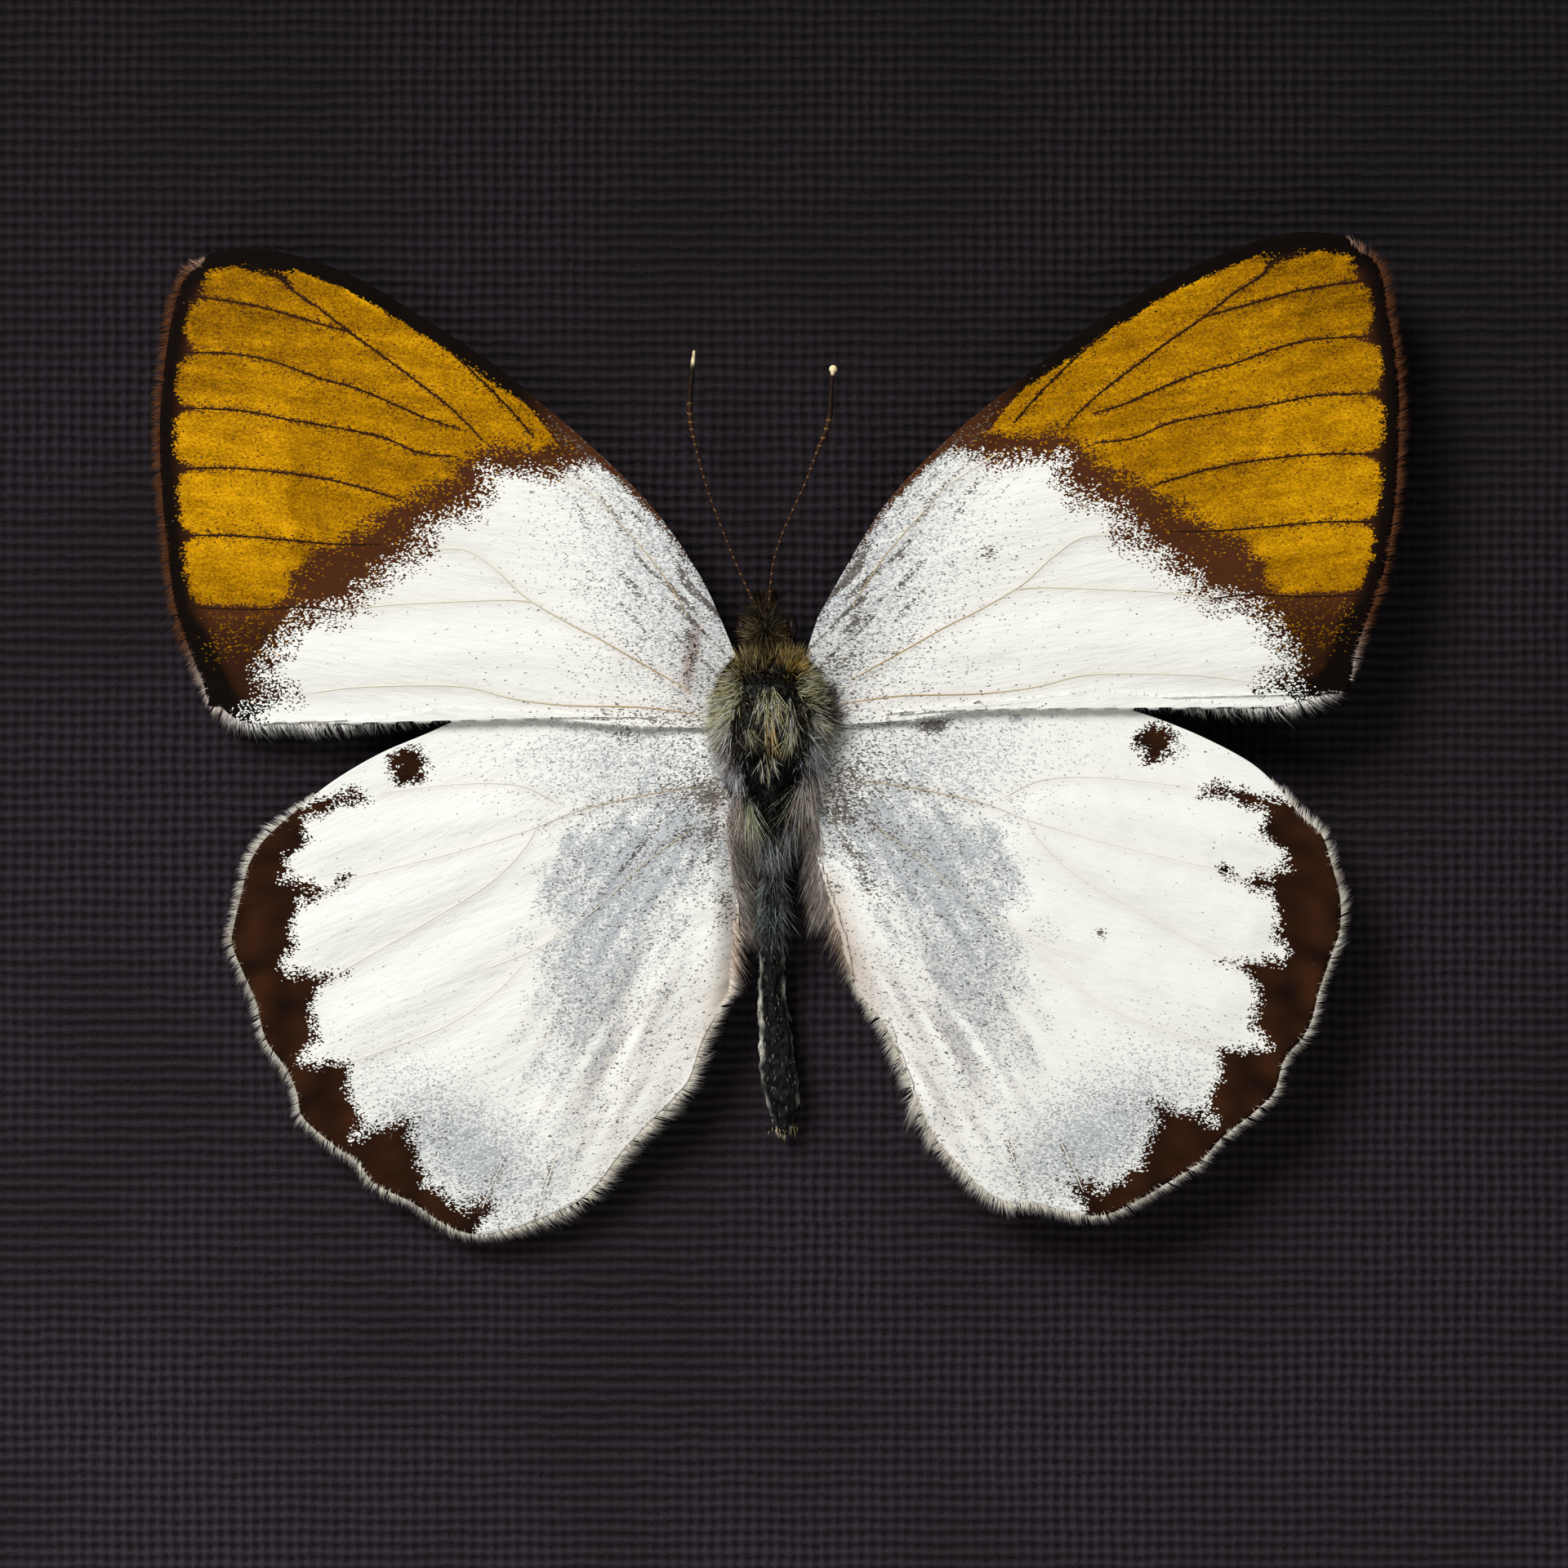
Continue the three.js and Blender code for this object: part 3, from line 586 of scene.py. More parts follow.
class Wing:
    """The chart of one wing: its root edge, its outline and its height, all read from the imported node."""

    def __init__(self, side, kind):
        self.side, self.kind = side, kind
        self.node = f"{side}_{kind}"
        bm = packed_copy(self.node)
        finder = KDTree(len(bm.verts))
        for i, v in enumerate(bm.verts):
            finder.insert((v.co.x, v.co.y, 0), i)
        finder.balance()
        bm.verts.ensure_lookup_table()
        top = set()
        for v in bm.verts:
            pair = [bm.verts[i] for _, i, _ in finder.find_n((v.co.x, v.co.y, 0), 2)]
            top.add(max(pair, key=lambda v: v.co.z))
        upper = {f for f in bm.faces if all(v in top for v in f.verts)}
        surface = np.array([v.co[:] for v in top]) / MM
        rim = {}
        for edge in bm.edges:
            if sum(f in upper for f in edge.link_faces) == 1:
                for a, b in (edge.verts, reversed(edge.verts)):
                    rim.setdefault(a, []).append(b)
        if any(len(ends) != 2 for ends in rim.values()):
            raise RuntimeError(self.node + ": the rim of its upper face isn't one plain loop")
        loop = [next(iter(rim))]
        loop.append(rim[loop[0]][0])
        for _ in range(len(rim) - 2):
            loop.append(next(v for v in rim[loop[-1]] if v is not loop[-2]))
        corners = [i for i, v in enumerate(loop) if sum(f in upper for f in v.link_faces) <= 2]
        ring = np.array([v.co[:2] for v in loop]) / MM
        bm.free()
        arcs = []
        for a, b in zip(corners, corners[1:] + [corners[0] + len(ring)]):
            arcs.append(np.take(ring, range(a, b + 1), axis=0, mode="wrap"))
        arcs = sorted(arcs, key=len)[2:]
        arcs.sort(key=lambda arc: np.linalg.norm(np.diff(arc, axis=0), axis=1).sum())
        self.root, self.outline = (arc if arc[0, 1] > arc[-1, 1] else arc[::-1] for arc in arcs)
        self.low, self.high = ring.min(0), ring.max(0)
        self.centre = ring.mean(0)
        self._fit(surface)

    @staticmethod
    def _kernel(a, b):
        """The thin plate's bending kernel between two sets of points."""
        d2 = ((a[:, None] - b[None]) ** 2).sum(2) / 100
        return d2 * np.log(np.maximum(d2, 1e-12))

    def _fit(self, surface):
        """Fits a smooth plate through the surface's points."""
        self.knots = surface[:, :2]
        n = len(self.knots)
        flat = np.column_stack([np.ones(n), self.knots])
        system = np.zeros((n + 3, n + 3))
        system[:n, :n] = self._kernel(self.knots, self.knots) + 1e-4 * np.eye(n)
        system[:n, n:] = flat
        system[n:, :n] = flat.T
        self.weights = np.linalg.solve(system, np.concatenate([surface[:, 2], np.zeros(3)]))

    def height(self, points):
        """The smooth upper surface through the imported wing's own vertices."""
        n = len(self.knots)
        out = np.empty(len(points))
        for i in range(0, len(points), 8000):
            part = points[i:i + 8000]
            out[i:i + 8000] = self._kernel(part, self.knots) @ self.weights[:n] + (
                np.column_stack([np.ones(len(part)), part]) @ self.weights[n:])
        return out

    def home(self, points):
        """Points of this wing where its pattern is laid out, on the left wing of its kind."""
        if self.side == "left":
            return points
        left = WINGS["left", self.kind]
        share = (points - self.low) / (self.high - self.low)
        share[:, 0] = 1 - share[:, 0]
        return left.low + share * (left.high - left.low)

    def away(self, points):
        """Points laid out on the left wing, carried to this wing."""
        points = np.asarray(points, float)
        if self.side == "left":
            return points
        left = WINGS["left", self.kind]
        share = (points - left.low) / (left.high - left.low)
        share[:, 0] = 1 - share[:, 0]
        return self.low + share * (self.high - self.low)

    def margin(self, count):
        """Points round the outline where the membrane ends, the outward directions there and the hair's lengths."""
        line = smooth_line(self.outline, count)
        tangent = unit(np.gradient(line, axis=0))
        outward = np.column_stack([-tangent[:, 1], tangent[:, 0]])
        if ((line - self.centre) * outward).sum() < 0:
            outward = -outward
        hair = fringe_length(self.kind, self.home(line))
        return line - outward * hair[:, None], outward, hair

    def relief(self, points):
        """Folds and pleats of the dry membrane."""
        home = self.home(points)
        rise = np.zeros(len(points))
        folds = FOREWING_FOLDS if self.kind == "forewing" else HINDWING_FOLDS
        for line, width, height in folds:
            rise += 2.2 * height * np.exp(-0.5 * (line_distance(home, smooth_line(line, 24)) / width) ** 2)
        for line in veins_of(self.kind):
            rise += 0.018 * np.exp(-0.5 * (line_distance(home, smooth_line(line, 24)) / 0.14) ** 2)
        rise += 0.035 * waves(points, 5 + len(self.node), 6.0) + 0.012 * waves(points, 9 + len(self.node), 1.6)
        return rise

    def surface(self, points):
        """Full height of the dressed wing at points of the plane."""
        return self.height(points) + self.relief(points)


def veins_of(kind):
    """All the vein lines of a kind of wing, in the order that they are drawn in."""
    return FOREWING_TIP_VEINS + FOREWING_WHITE_VEINS if kind == "forewing" else HINDWING_VEINS


def fringe_length(kind, home):
    """How long the hair of the margin is, at points of the outline: none along a forewing's front edge."""
    x, y = home.T
    if kind == "forewing":
        outer = 0.4 * smoothstep(-25.6, -26.4, x) * smoothstep(2.5, 4, y)
        inner = 0.6 * smoothstep(3.6, 3.0, y) * smoothstep(-11.5, -15, x)
        near = 0.24 * smoothstep(3.6, 3.0, y) * smoothstep(-15, -11.5, x)
        return np.max([outer, inner, near], axis=0)
    side = 0.38 * smoothstep(-18.5, -22, x) * smoothstep(1, -2, y)
    lower = (0.38 + 0.22 * smoothstep(-14, -9, x)) * smoothstep(-8, -12, y)
    fold = 0.3 * smoothstep(-4, -7, y) * smoothstep(-6, -3, x)
    base = 0.85 * smoothstep(-1.2, -4.6, y) * smoothstep(-11, -7.5, y) * smoothstep(-5.5, -3.5, x)
    return np.max([side, lower, fold, base], axis=0)


def wing_fields(wing, points):
    """What colour the scales have: chances, tones and painted sheen at points of a wing."""
    home = wing.home(points)
    x, y = home.T
    rim = line_distance(points, smooth_line(wing.outline, 240))
    hair = fringe_length(wing.kind, home)
    rough = 0.16 * waves(home, 21, 0.9) + 0.16 * waves(home, 22, 2.2)
    near = {kind: np.min([line_distance(home, smooth_line(line, 24)) for line in lines], axis=0)
            for kind, lines in (("dark", FOREWING_TIP_VEINS), ("pale", veins_of(wing.kind)))}
    fields = {"tone_and_painted_sheen": np.full(len(points), 0.5)}
    root = np.hypot(x + 3, y - (4 if wing.kind == "forewing" else 0))
    if wing.kind == "forewing":
        patch = inside_distance(home, np.array(ORANGE_PATCH))
        field = inside_distance(home, np.array(WHITE_FIELD))
        inside = rim - hair - MARGIN_BAND * (1 - 0.35 * smoothstep(-17, -12, x))
        across = np.min([line_distance(home, smooth_line(line, 24)) for line in FOREWING_OUTER_VEINS], axis=0)
        cusp = np.minimum(near["dark"] - 0.05, across - 0.06 - 0.45 * np.exp(-np.maximum(inside, 0) / 0.32))
        soft = 0.12 + 0.75 * smoothstep(-24, -19, x) * smoothstep(1.0, 2.2, rim)
        edge = np.minimum(patch + rough * (soft > 0.3), inside + 0.06 * waves(home, 24, 0.4))
        fields["orange"] = 0.5 + np.minimum(edge / soft, cusp / 0.14)
        fields["orange"] = np.minimum(fields["orange"], 0.996 - 0.16 * np.exp(-near["dark"] / 0.25))
        strewn = 0.14 * smoothstep(8.2, 7.4, y) * smoothstep(4.6, 6.6, y) * smoothstep(-26.4, -25.4, x)
        strewn *= smoothstep(-20.5, -22.5, x)
        strewn = np.maximum(strewn, 0.10 * np.exp(np.minimum(patch, 0) / 0.9) * smoothstep(-25, -22, x))
        fields["orange"] = np.maximum(fields["orange"], strewn * (inside > 0))
        band = 1.7 - 0.7 * smoothstep(-15, -11, x)
        fields["white"] = 0.5 + (field + rough - 0.1) / band
        fields["white"] = np.where(field > band, 1.0, fields["white"])
        costa = np.exp(-rim / 0.5) * smoothstep(4.0, 7.0, y) * smoothstep(-11.5, -8.5, x)
        fields["white"] -= 1.5 * costa * smoothstep(0.42, 0.2, rim) * smoothstep(-2.6, -8, x)
        streaks = waves(np.column_stack([x * 0.74 + y * 0.67, (x * 0.67 - y * 0.74) * 0.16]), 25, 0.6)
        shoulder = blob(home, (-5.2, 8.6), (1.5, 4.2), 32)
        drawn = smoothstep(0.1, 0.9, streaks)
        fields["dust"] = 0.8 * costa * (0.3 + 0.7 * drawn) + 0.3 * np.exp(-root / 1.5)
        fields["dust"] += 0.75 * shoulder * drawn + 0.07 * blob(home, (-6, 3), (3.5, 0.8)) * drawn
        fields["dust"] += 0.008 * blob(home, (-7, 7), (3, 4)) + 0.0002
        fields["grey"] = 0.45 * shoulder + 0.07 * blob(home, (-7, 8.5), (2.5, 3.5), 40) + 0.5 * np.exp(-root / 2)
        fields["grey"] += 0.6 * costa + 0.003
        fields["cream"] = 0.2 * np.exp(-near["pale"] / 0.25) + 0.3 * np.exp(-root / 2)
        # painted sheen: brighter patches where the orange catches the lamp, and the outer side of the crease near x =
        # -22 painted brighter
        painted_sheen = 0.22 * blob(home, (-24.6, 11.4), (2.4, 3.0)) + 0.35 * blob(home, (-15.5, 18), (4.5, 1.3), -37)
        painted_sheen += 0.3 * blob(home, (-21, 17.4), (2, 1.2))
        painted_crease_highlight = 0.18 * smoothstep(-21.6, -22.0, x + 0.5 * waves(home, 26, 2.5))
        painted_crease_highlight = painted_crease_highlight * smoothstep(9.0, 10, y) * smoothstep(18, 15.5, y)
        # the orange's own uneven tone, with the painted sheen and crease highlight added
        fields["tone_and_painted_sheen"] = 0.42 + 0.2 * painted_sheen + painted_crease_highlight - 0.16 * blob(home, (-25, 21.5), (2.4, 1.4))
        fields["tone_and_painted_sheen"] += 0.05 * waves(home, 23, 1.4) - 0.3 * smoothstep(8.2, 7.6, y)
        fields["tone_and_painted_sheen"] += 0.5 * blob(home, (-18.9, 21.8), (0.7, 0.16), -35)
        fields["black"] = smoothstep(1.9, 0.75, rim) * smoothstep(-9, -12, x) + 0.55 * smoothstep(7.8, 6.4, y)
    else:
        border = inside_distance(home, np.array(HINDWING_BORDER))
        width = 0.6 + 0.25 * smoothstep(-2, 0, y)
        chance = 0.5 - (border + 0.7 * rough + 0.02) / width
        spot = np.hypot(*(points - np.array(SPOT_CENTRE[wing.side])).T) - SPOT_RADIUS
        spot += 0.2 * waves(points, 31, 0.7)
        fields["white"] = np.minimum(np.where(border < -width, 1, chance), 0.5 + spot / 0.5)
        fields["orange"] = np.zeros(len(points))
        pleated = waves(np.column_stack([x * 0.86 - y * 0.5, (x * 0.5 + y * 0.86) * 0.12]), 37, 0.8)
        cloud = inside_distance(home, np.array(GREY_CLOUD)) + 0.3 * pleated
        cloud += 0.7 * waves(home, 35, 2.6) + 0.3 * waves(home, 36, 0.8)
        basal = smoothstep(-1.5, 1.8, cloud) * (0.45 + 0.55 * smoothstep(-15, -4, y))
        basal *= 0.85 + 0.35 * np.exp(-root / 4) + 0.12 * pleated
        low = blob(home, (-14.0, -16.6), (3.0, 1.5), -35)
        shoulder = blob(home, (-6.5, 1.0), (3.2, 1.5))
        speckled = smoothstep(-0.2, 1.0, waves(home, 34, 0.9))
        veined = np.exp(-near["pale"] / 0.16) * smoothstep(8, 3, root)
        fields["dust"] = 0.09 * basal * (0.4 + speckled) + 0.3 * veined + 0.7 * np.exp(-root / 1.2)
        worn = blob(home, (-6.6, -11.5), (2.0, 4.2), -12)
        fields["dust"] += 0.1 * worn * (0.2 + speckled) + 0.01 * shoulder + 0.0002
        fields["dust"] += 0.5 * blob(home, (-3.4, -3.2), (0.45, 2.4), 18) * speckled
        fields["dust"] += 0.08 * np.exp(-((border + 0.9) / 0.7) ** 2) * smoothstep(-13, -16, y)
        dark_lines = np.min([line_distance(home, smooth_line(v, 12)) for v in HINDWING_DARK_VEINS], axis=0)
        fields["dust"] += 0.5 * np.exp(-(dark_lines / 0.11) ** 2)
        fields["grey"] = 0.95 * basal + 0.85 * low + 0.5 * shoulder + 0.18 * worn * (1 + pleated) + 0.003
        # painted shade: a tan wash along the inner margin by the body, where the hindwing rolls down
        inner = smoothstep(2.2, 0.2, rim) * smoothstep(-6.5, -3.5, x) * smoothstep(-14, -7, y)
        fields["cream"] = 0.75 * inner + 0.22 * (1 + pleated) * blob(home, (-7, -12.5), (2.6, 3.6)) + 0.25 * veined
        fields["cream"] += 0.15 * np.exp(-near["pale"] / 0.25)
        fields["black"] = 0.7 + 0.16 * waves(home, 33, 2.0)
    for centre, size, turn, name, strength in MARKS.get((wing.side, wing.kind), ()):
        fields[name] = fields[name] + strength * blob(points, centre, size, turn)
    return {n: np.clip(v, 0, 1) for n, v in fields.items()}


def wing_sheet(wing, material):
    """The membrane with its coat of scales: a grid fanned from the root edge to the margin."""
    out, around = WING_CELLS
    bm = bmesh.new()
    bmesh.ops.create_grid(bm, x_segments=out, y_segments=around, size=0.5)
    mesh = bpy.data.meshes.new(wing.node + "_membrane")
    bm.to_mesh(mesh)
    bm.free()
    chart = get_points(mesh)[:, :2] * MM + 0.5
    dense = 8 * around + 1
    root = smooth_line(wing.root, dense)
    edge, _, _ = wing.margin(dense)
    at = np.clip(np.rint(chart[:, 1] * (dense - 1)).astype(int), 0, dense - 1)
    share = chart[:, :1]
    flat = root[at] * (1 - share) + edge[at] * share
    set_points(mesh, np.column_stack([flat, wing.surface(flat)]))
    if mesh.polygons[0].normal.z < 0:
        mesh.flip_normals()
    for name, values in wing_fields(wing, flat).items():
        set_field(mesh, name, values)
    piece = place(wing.node + "_membrane", mesh, "wing", wing.node, material=material)
    skin = piece.modifiers.new("skin", "SOLIDIFY")
    skin.thickness = WING_SKIN * MM
    skin.offset = -1
    return piece


def vein_tubes(wing, material):
    """The wing's veins, raised half out of the membrane: dark in the coloured tip, horn-yellow in the white."""
    bm = bmesh.new()
    tints = []
    for line in veins_of(wing.kind):
        flat = wing.away(smooth_line(line, VEIN_POINTS))
        centre = np.column_stack([flat, wing.surface(flat) - (0.002 if wing.kind == "forewing" else 0.01)])
        home = wing.home(flat)
        tangent = unit(np.gradient(centre, axis=0))
        side = np.cross(tangent, [0, 0, 1.0])
        over = np.cross(side, tangent)
        rings = []
        dark = line in FOREWING_TIP_VEINS
        for i, (spot, s, o) in enumerate(zip(centre, side, over)):
            end = min(i, len(centre) - 1 - i) / 6
            radius = VEIN_RADIUS[dark] * min(1, 0.35 + end)
            ring = [bm.verts.new((spot + radius * (s * math.cos(a) + o * math.sin(a))) * MM)
                    for a in np.linspace(0, 2 * math.pi, VEIN_SIDES, endpoint=False)]
            rings.append(ring)
            tints.append((dark, home[i, 0], home[i, 1]))
        for a, b in zip(rings[:-1], rings[1:]):
            for j in range(VEIN_SIDES):
                after = (j + 1) % VEIN_SIDES
                bm.faces.new((a[j], a[after], b[after], b[j]))
        bm.faces.new(rings[0][::-1])
        bm.faces.new(rings[-1])
    bmesh.ops.recalc_face_normals(bm, faces=bm.faces)
    name = wing.node + "_veins"
    mesh = bpy.data.meshes.new(name)
    bm.to_mesh(mesh)
    bm.free()
    dark = np.array([t[0] for t in tints], float)
    home = np.array([t[1:] for t in tints])
    toward_root = smoothstep(14, 4, np.hypot(home[:, 0] + 3, home[:, 1] - 3))
    pale = mixed(linear("#e2ddcb"), linear("#a98f60"), toward_root)
    if wing.kind == "hindwing":
        pale = mixed(linear("#e9e6da"), linear("#a89a7c"), toward_root)
    colour = mixed(pale, linear("#2a1608"), dark)
    set_field(mesh, "tint", np.repeat(colour, VEIN_SIDES, axis=0))
    return place(name, mesh, "wing", material=material)


def near_body(home):
    """How much the margin's hair lies back along the body, as on a hindwing's inner edge."""
    return smoothstep(-10, -7.5, home[:, 1]) * smoothstep(-6, -4, home[:, 0])


def body_side_hair(wing, rng):
    """Roots, tips and colours of the long hair on a hindwing's straight edge by the body."""
    n = EDGE_HAIRS
    top, low = wing.root[-1], wing.outline[-1]
    along = (low - top) / np.linalg.norm(low - top)
    outward = np.array([-along[1], along[0]])
    outward *= np.sign(outward @ (top - wing.centre))
    inset = rng.uniform(0.05, 0.75, (n, 1))
    start = top + (low - top) * (1.3 * np.sqrt(rng.uniform(0, 1, (n, 1))) - 0.25) - outward * inset
    flat = start + (along + outward * rng.uniform(-0.1, 0.6, (n, 1))) * rng.uniform(0.4, 1.7, (n, 1))
    height = wing.surface(start)
    roots = np.column_stack([start, height - 0.03])
    tips = np.column_stack([flat, height + rng.uniform(-0.15, 0.12, n)])
    pale = rng.uniform(0, 0.7, n) + 0.5 * inset[:, 0]
    return roots, tips, mixed(linear("#54463f"), linear("#f0e4d8"), pale) * rng.uniform(0.55, 1.15, (n, 1))


def fringe(wing, material, rng):
    """Hair-like scales that stand out from the wing's margin."""
    dense = 4000
    edge, outward, hair = wing.margin(dense)
    step = np.linalg.norm(np.diff(edge, axis=0), axis=1)
    along = np.concatenate([[0], np.cumsum(step)])
    count = int(along[-1] / FRINGE_SPACING)
    at = np.interp(rng.uniform(0, along[-1], count), along, np.arange(dense)).astype(int)
    at = at[hair[at] > 0.12]
    n = len(at)
    normal = outward[at]
    tangent = np.column_stack([-normal[:, 1], normal[:, 0]])
    home = wing.home(edge[at])
    clump = waves(home, 41, 0.35)
    lean = 0.35 + 0.4 * clump + rng.normal(0, 0.2, n)
    reach = hair[at] * rng.uniform(0.6, 1.3, n) * (1 + 0.18 * clump) + FRINGE_DEPTH
    start = edge[at] - normal * FRINGE_DEPTH
    height = wing.surface(start)
    roots = np.column_stack([start, height - rng.uniform(0.02, 0.08, n)])
    across = normal + tangent * lean[:, None]
    if wing.kind == "hindwing":
        swept = near_body(home)
        across = mixed(across, 0.55 * normal + [0, -1] + rng.normal(0, 0.2, (n, 2)), swept)
    flat = start + across * reach[:, None]
    tips = np.column_stack([flat, height - rng.uniform(-0.02, 0.14, n)])
    base, tip = fringe_tints(wing.kind, home, rng)
    if wing.kind == "hindwing":
        more_roots, more_tips, tint = body_side_hair(wing, rng)
        roots, tips = np.concatenate([roots, more_roots]), np.concatenate([tips, more_tips])
        base, tip = np.concatenate([base, 0.6 * tint]), np.concatenate([tip, tint])
        n = len(roots)
    bow = np.column_stack([np.zeros((n, 2)), np.full(n, 0.02)])
    mesh = strands(wing.node + "_fringe", roots, tips, bow, rng.uniform(0.03, 0.055, n), base, tip, rings=2)
    return place(wing.node + "_fringe", mesh, "wing", material=material)


def fringe_tints(kind, home, rng):
    """Root and tip colours of a margin's hair, from where it stands."""
    x, y = home.T
    n = len(home)
    if kind == "forewing":
        brown = mixed(linear("#3c1f10"), linear("#82492a"), rng.uniform(0, 0.8, n))
        pink = mixed(linear("#8d6a58"), linear("#d2b6a4"), rng.uniform(0, 1, n))
        white = mixed(linear("#d9d6cd"), linear("#fbfaf6"), rng.uniform(0, 1, n))
        dark = mixed(linear("#1c1512"), linear("#4a4440"), rng.uniform(0, 1, n))
        tip = mixed(brown, pink, smoothstep(22.7, 23.3, y))
        tip = mixed(tip, mixed(white, pink, 0.5), smoothstep(7.0, 3.5, y))
        inner = smoothstep(-25.4, -24.0, x) * smoothstep(5, 3.5, y)
        shaded = rng.uniform(0, 1, n) < (0.2 + 0.45 * smoothstep(-22, -17, x)) * smoothstep(-12, -14, x)
        tip = mixed(tip, np.where(shaded[:, None], dark, white), inner)
        root = mixed(tip, linear("#1f100a"), 0.45 * smoothstep(4, 6, y))
        return root, mixed(tip, linear("#a8734c"), rng.uniform(0.1, 0.7, n) * smoothstep(4, 6, y))
    white = mixed(linear("#cfcabd"), linear("#fbfaf6"), rng.uniform(0, 1, n))
    cream = mixed(linear("#b7ad8a"), linear("#e4dfc8"), rng.uniform(0, 1, n))
    base = mixed(mixed(white, cream, 0.5), linear("#b08e74"), rng.uniform(0, 0.35, n))
    marks = np.zeros(n)
    for spot in ((-25, -6.7), (-23.6, -8.9), (-24.6, -4.9), (-21.6, -12.6), (-19, -16), (-15.8, -19)):
        marks = np.maximum(marks, np.exp(-np.hypot(x - spot[0], y - spot[1]) / 0.45))
    tan = mixed(linear("#7d6450"), linear("#e6d8ca"), rng.uniform(0, 1, n))
    base, white = mixed(base, tan, near_body(home)), mixed(white, tan, near_body(home))
    return mixed(base, linear("#4a3320"), 0.7 * marks), mixed(white, linear("#7a5a3c"), 0.6 * marks)


# ---------------------------------------------------------------- body


def skin_of(node, name, slot, material, shrink, levels, roughen=0.0, seed=1):
    """A body part's own skin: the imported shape, smoothed, drawn in under its fur and made uneven."""
    mesh = refined_copy(node, name, levels)
    points = get_points(mesh)
    uneven = roughen * waves(points, seed, 0.9)
    set_points(mesh, points + get_normals(mesh) * (uneven - shrink)[:, None])
    return place(name, mesh, slot, node, material=material)


def antenna_shaft(side, material):
    """An antenna: its club is dark, with a worn tip, which on the right is a small knob."""
    piece = skin_of(f"{side}_antenna", f"{side}_antenna_shaft", "horn", material, 0.0, 2)
    points = get_points(piece.data)
    from_tip = points[:, 1].max() - points[:, 1]
    if side == "right":
        end = from_tip < 0.15
        middle = points[end].mean(0) - [0, 0.08, 0]
        away = points - middle
        far = np.linalg.norm(away, axis=1, keepdims=True)
        knob = smoothstep(0.34, 0.16, from_tip)[:, None]
        set_points(piece.data, points + knob * (away / np.maximum(far, 1e-6) * 0.19 - away))
    set_field(piece.data, "club", smoothstep(2.6, 2.0, from_tip))
    set_field(piece.data, "tip", smoothstep(0.42, 0.3, from_tip) if side == "right"
              else smoothstep(0.75, 0.5, from_tip) * (0.7 + 0.3 * waves(points, 15, 0.3)))
    return piece


def surface_samples(piece, count, rng):
    """Seeded points on a piece's mesh, with the outward direction at each."""
    mesh = piece.data
    mesh.calc_loop_triangles()
    points = get_points(mesh)
    corners = np.array([t.vertices[:] for t in mesh.loop_triangles])
    a, b, c = (points[corners[:, i]] for i in range(3))
    cross = np.cross(b - a, c - a)
    area = np.linalg.norm(cross, axis=1)
    pick = rng.choice(len(area), count, p=area / area.sum())
    u, v = rng.uniform(0, 1, (2, count))
    fold = u + v > 1
    u[fold], v[fold] = 1 - u[fold], 1 - v[fold]
    spot = a[pick] + (b - a)[pick] * u[:, None] + (c - a)[pick] * v[:, None]
    return spot, cross[pick] / area[pick][:, None]


class Fur:
    """Gathers hairs of many groups into one list."""

    def __init__(self):
        self.parts = []

    def add(self, roots, lie, length, droop, width, base, tip):
        """Takes hairs from their roots along their lie, bent down by their droop but kept off the card."""
        tips = roots + lie * length[:, None]
        bow = np.column_stack([np.zeros((len(roots), 2)), droop * length])
        tips[:, 2] = np.maximum(tips[:, 2] - droop * length, CARD_TOP + 0.15)
        self.parts.append((roots, tips, bow, np.broadcast_to(width, (len(roots),)), base, tip))

    def mesh(self, name, rings=3):
        """All the hairs so far as one mesh."""
        return strands(name, *(np.concatenate([p[i] for p in self.parts]) for i in range(6)), rings=rings)


def blend_of(hexes, rng, count):
    """Colours drawn at random between the given ones."""
    colours = np.array([linear(h) for h in hexes])
    at = rng.uniform(0, len(colours) - 1, count)
    i = np.minimum(at.astype(int), len(colours) - 2)
    return colours[i] + (colours[i + 1] - colours[i]) * (at - i)[:, None]


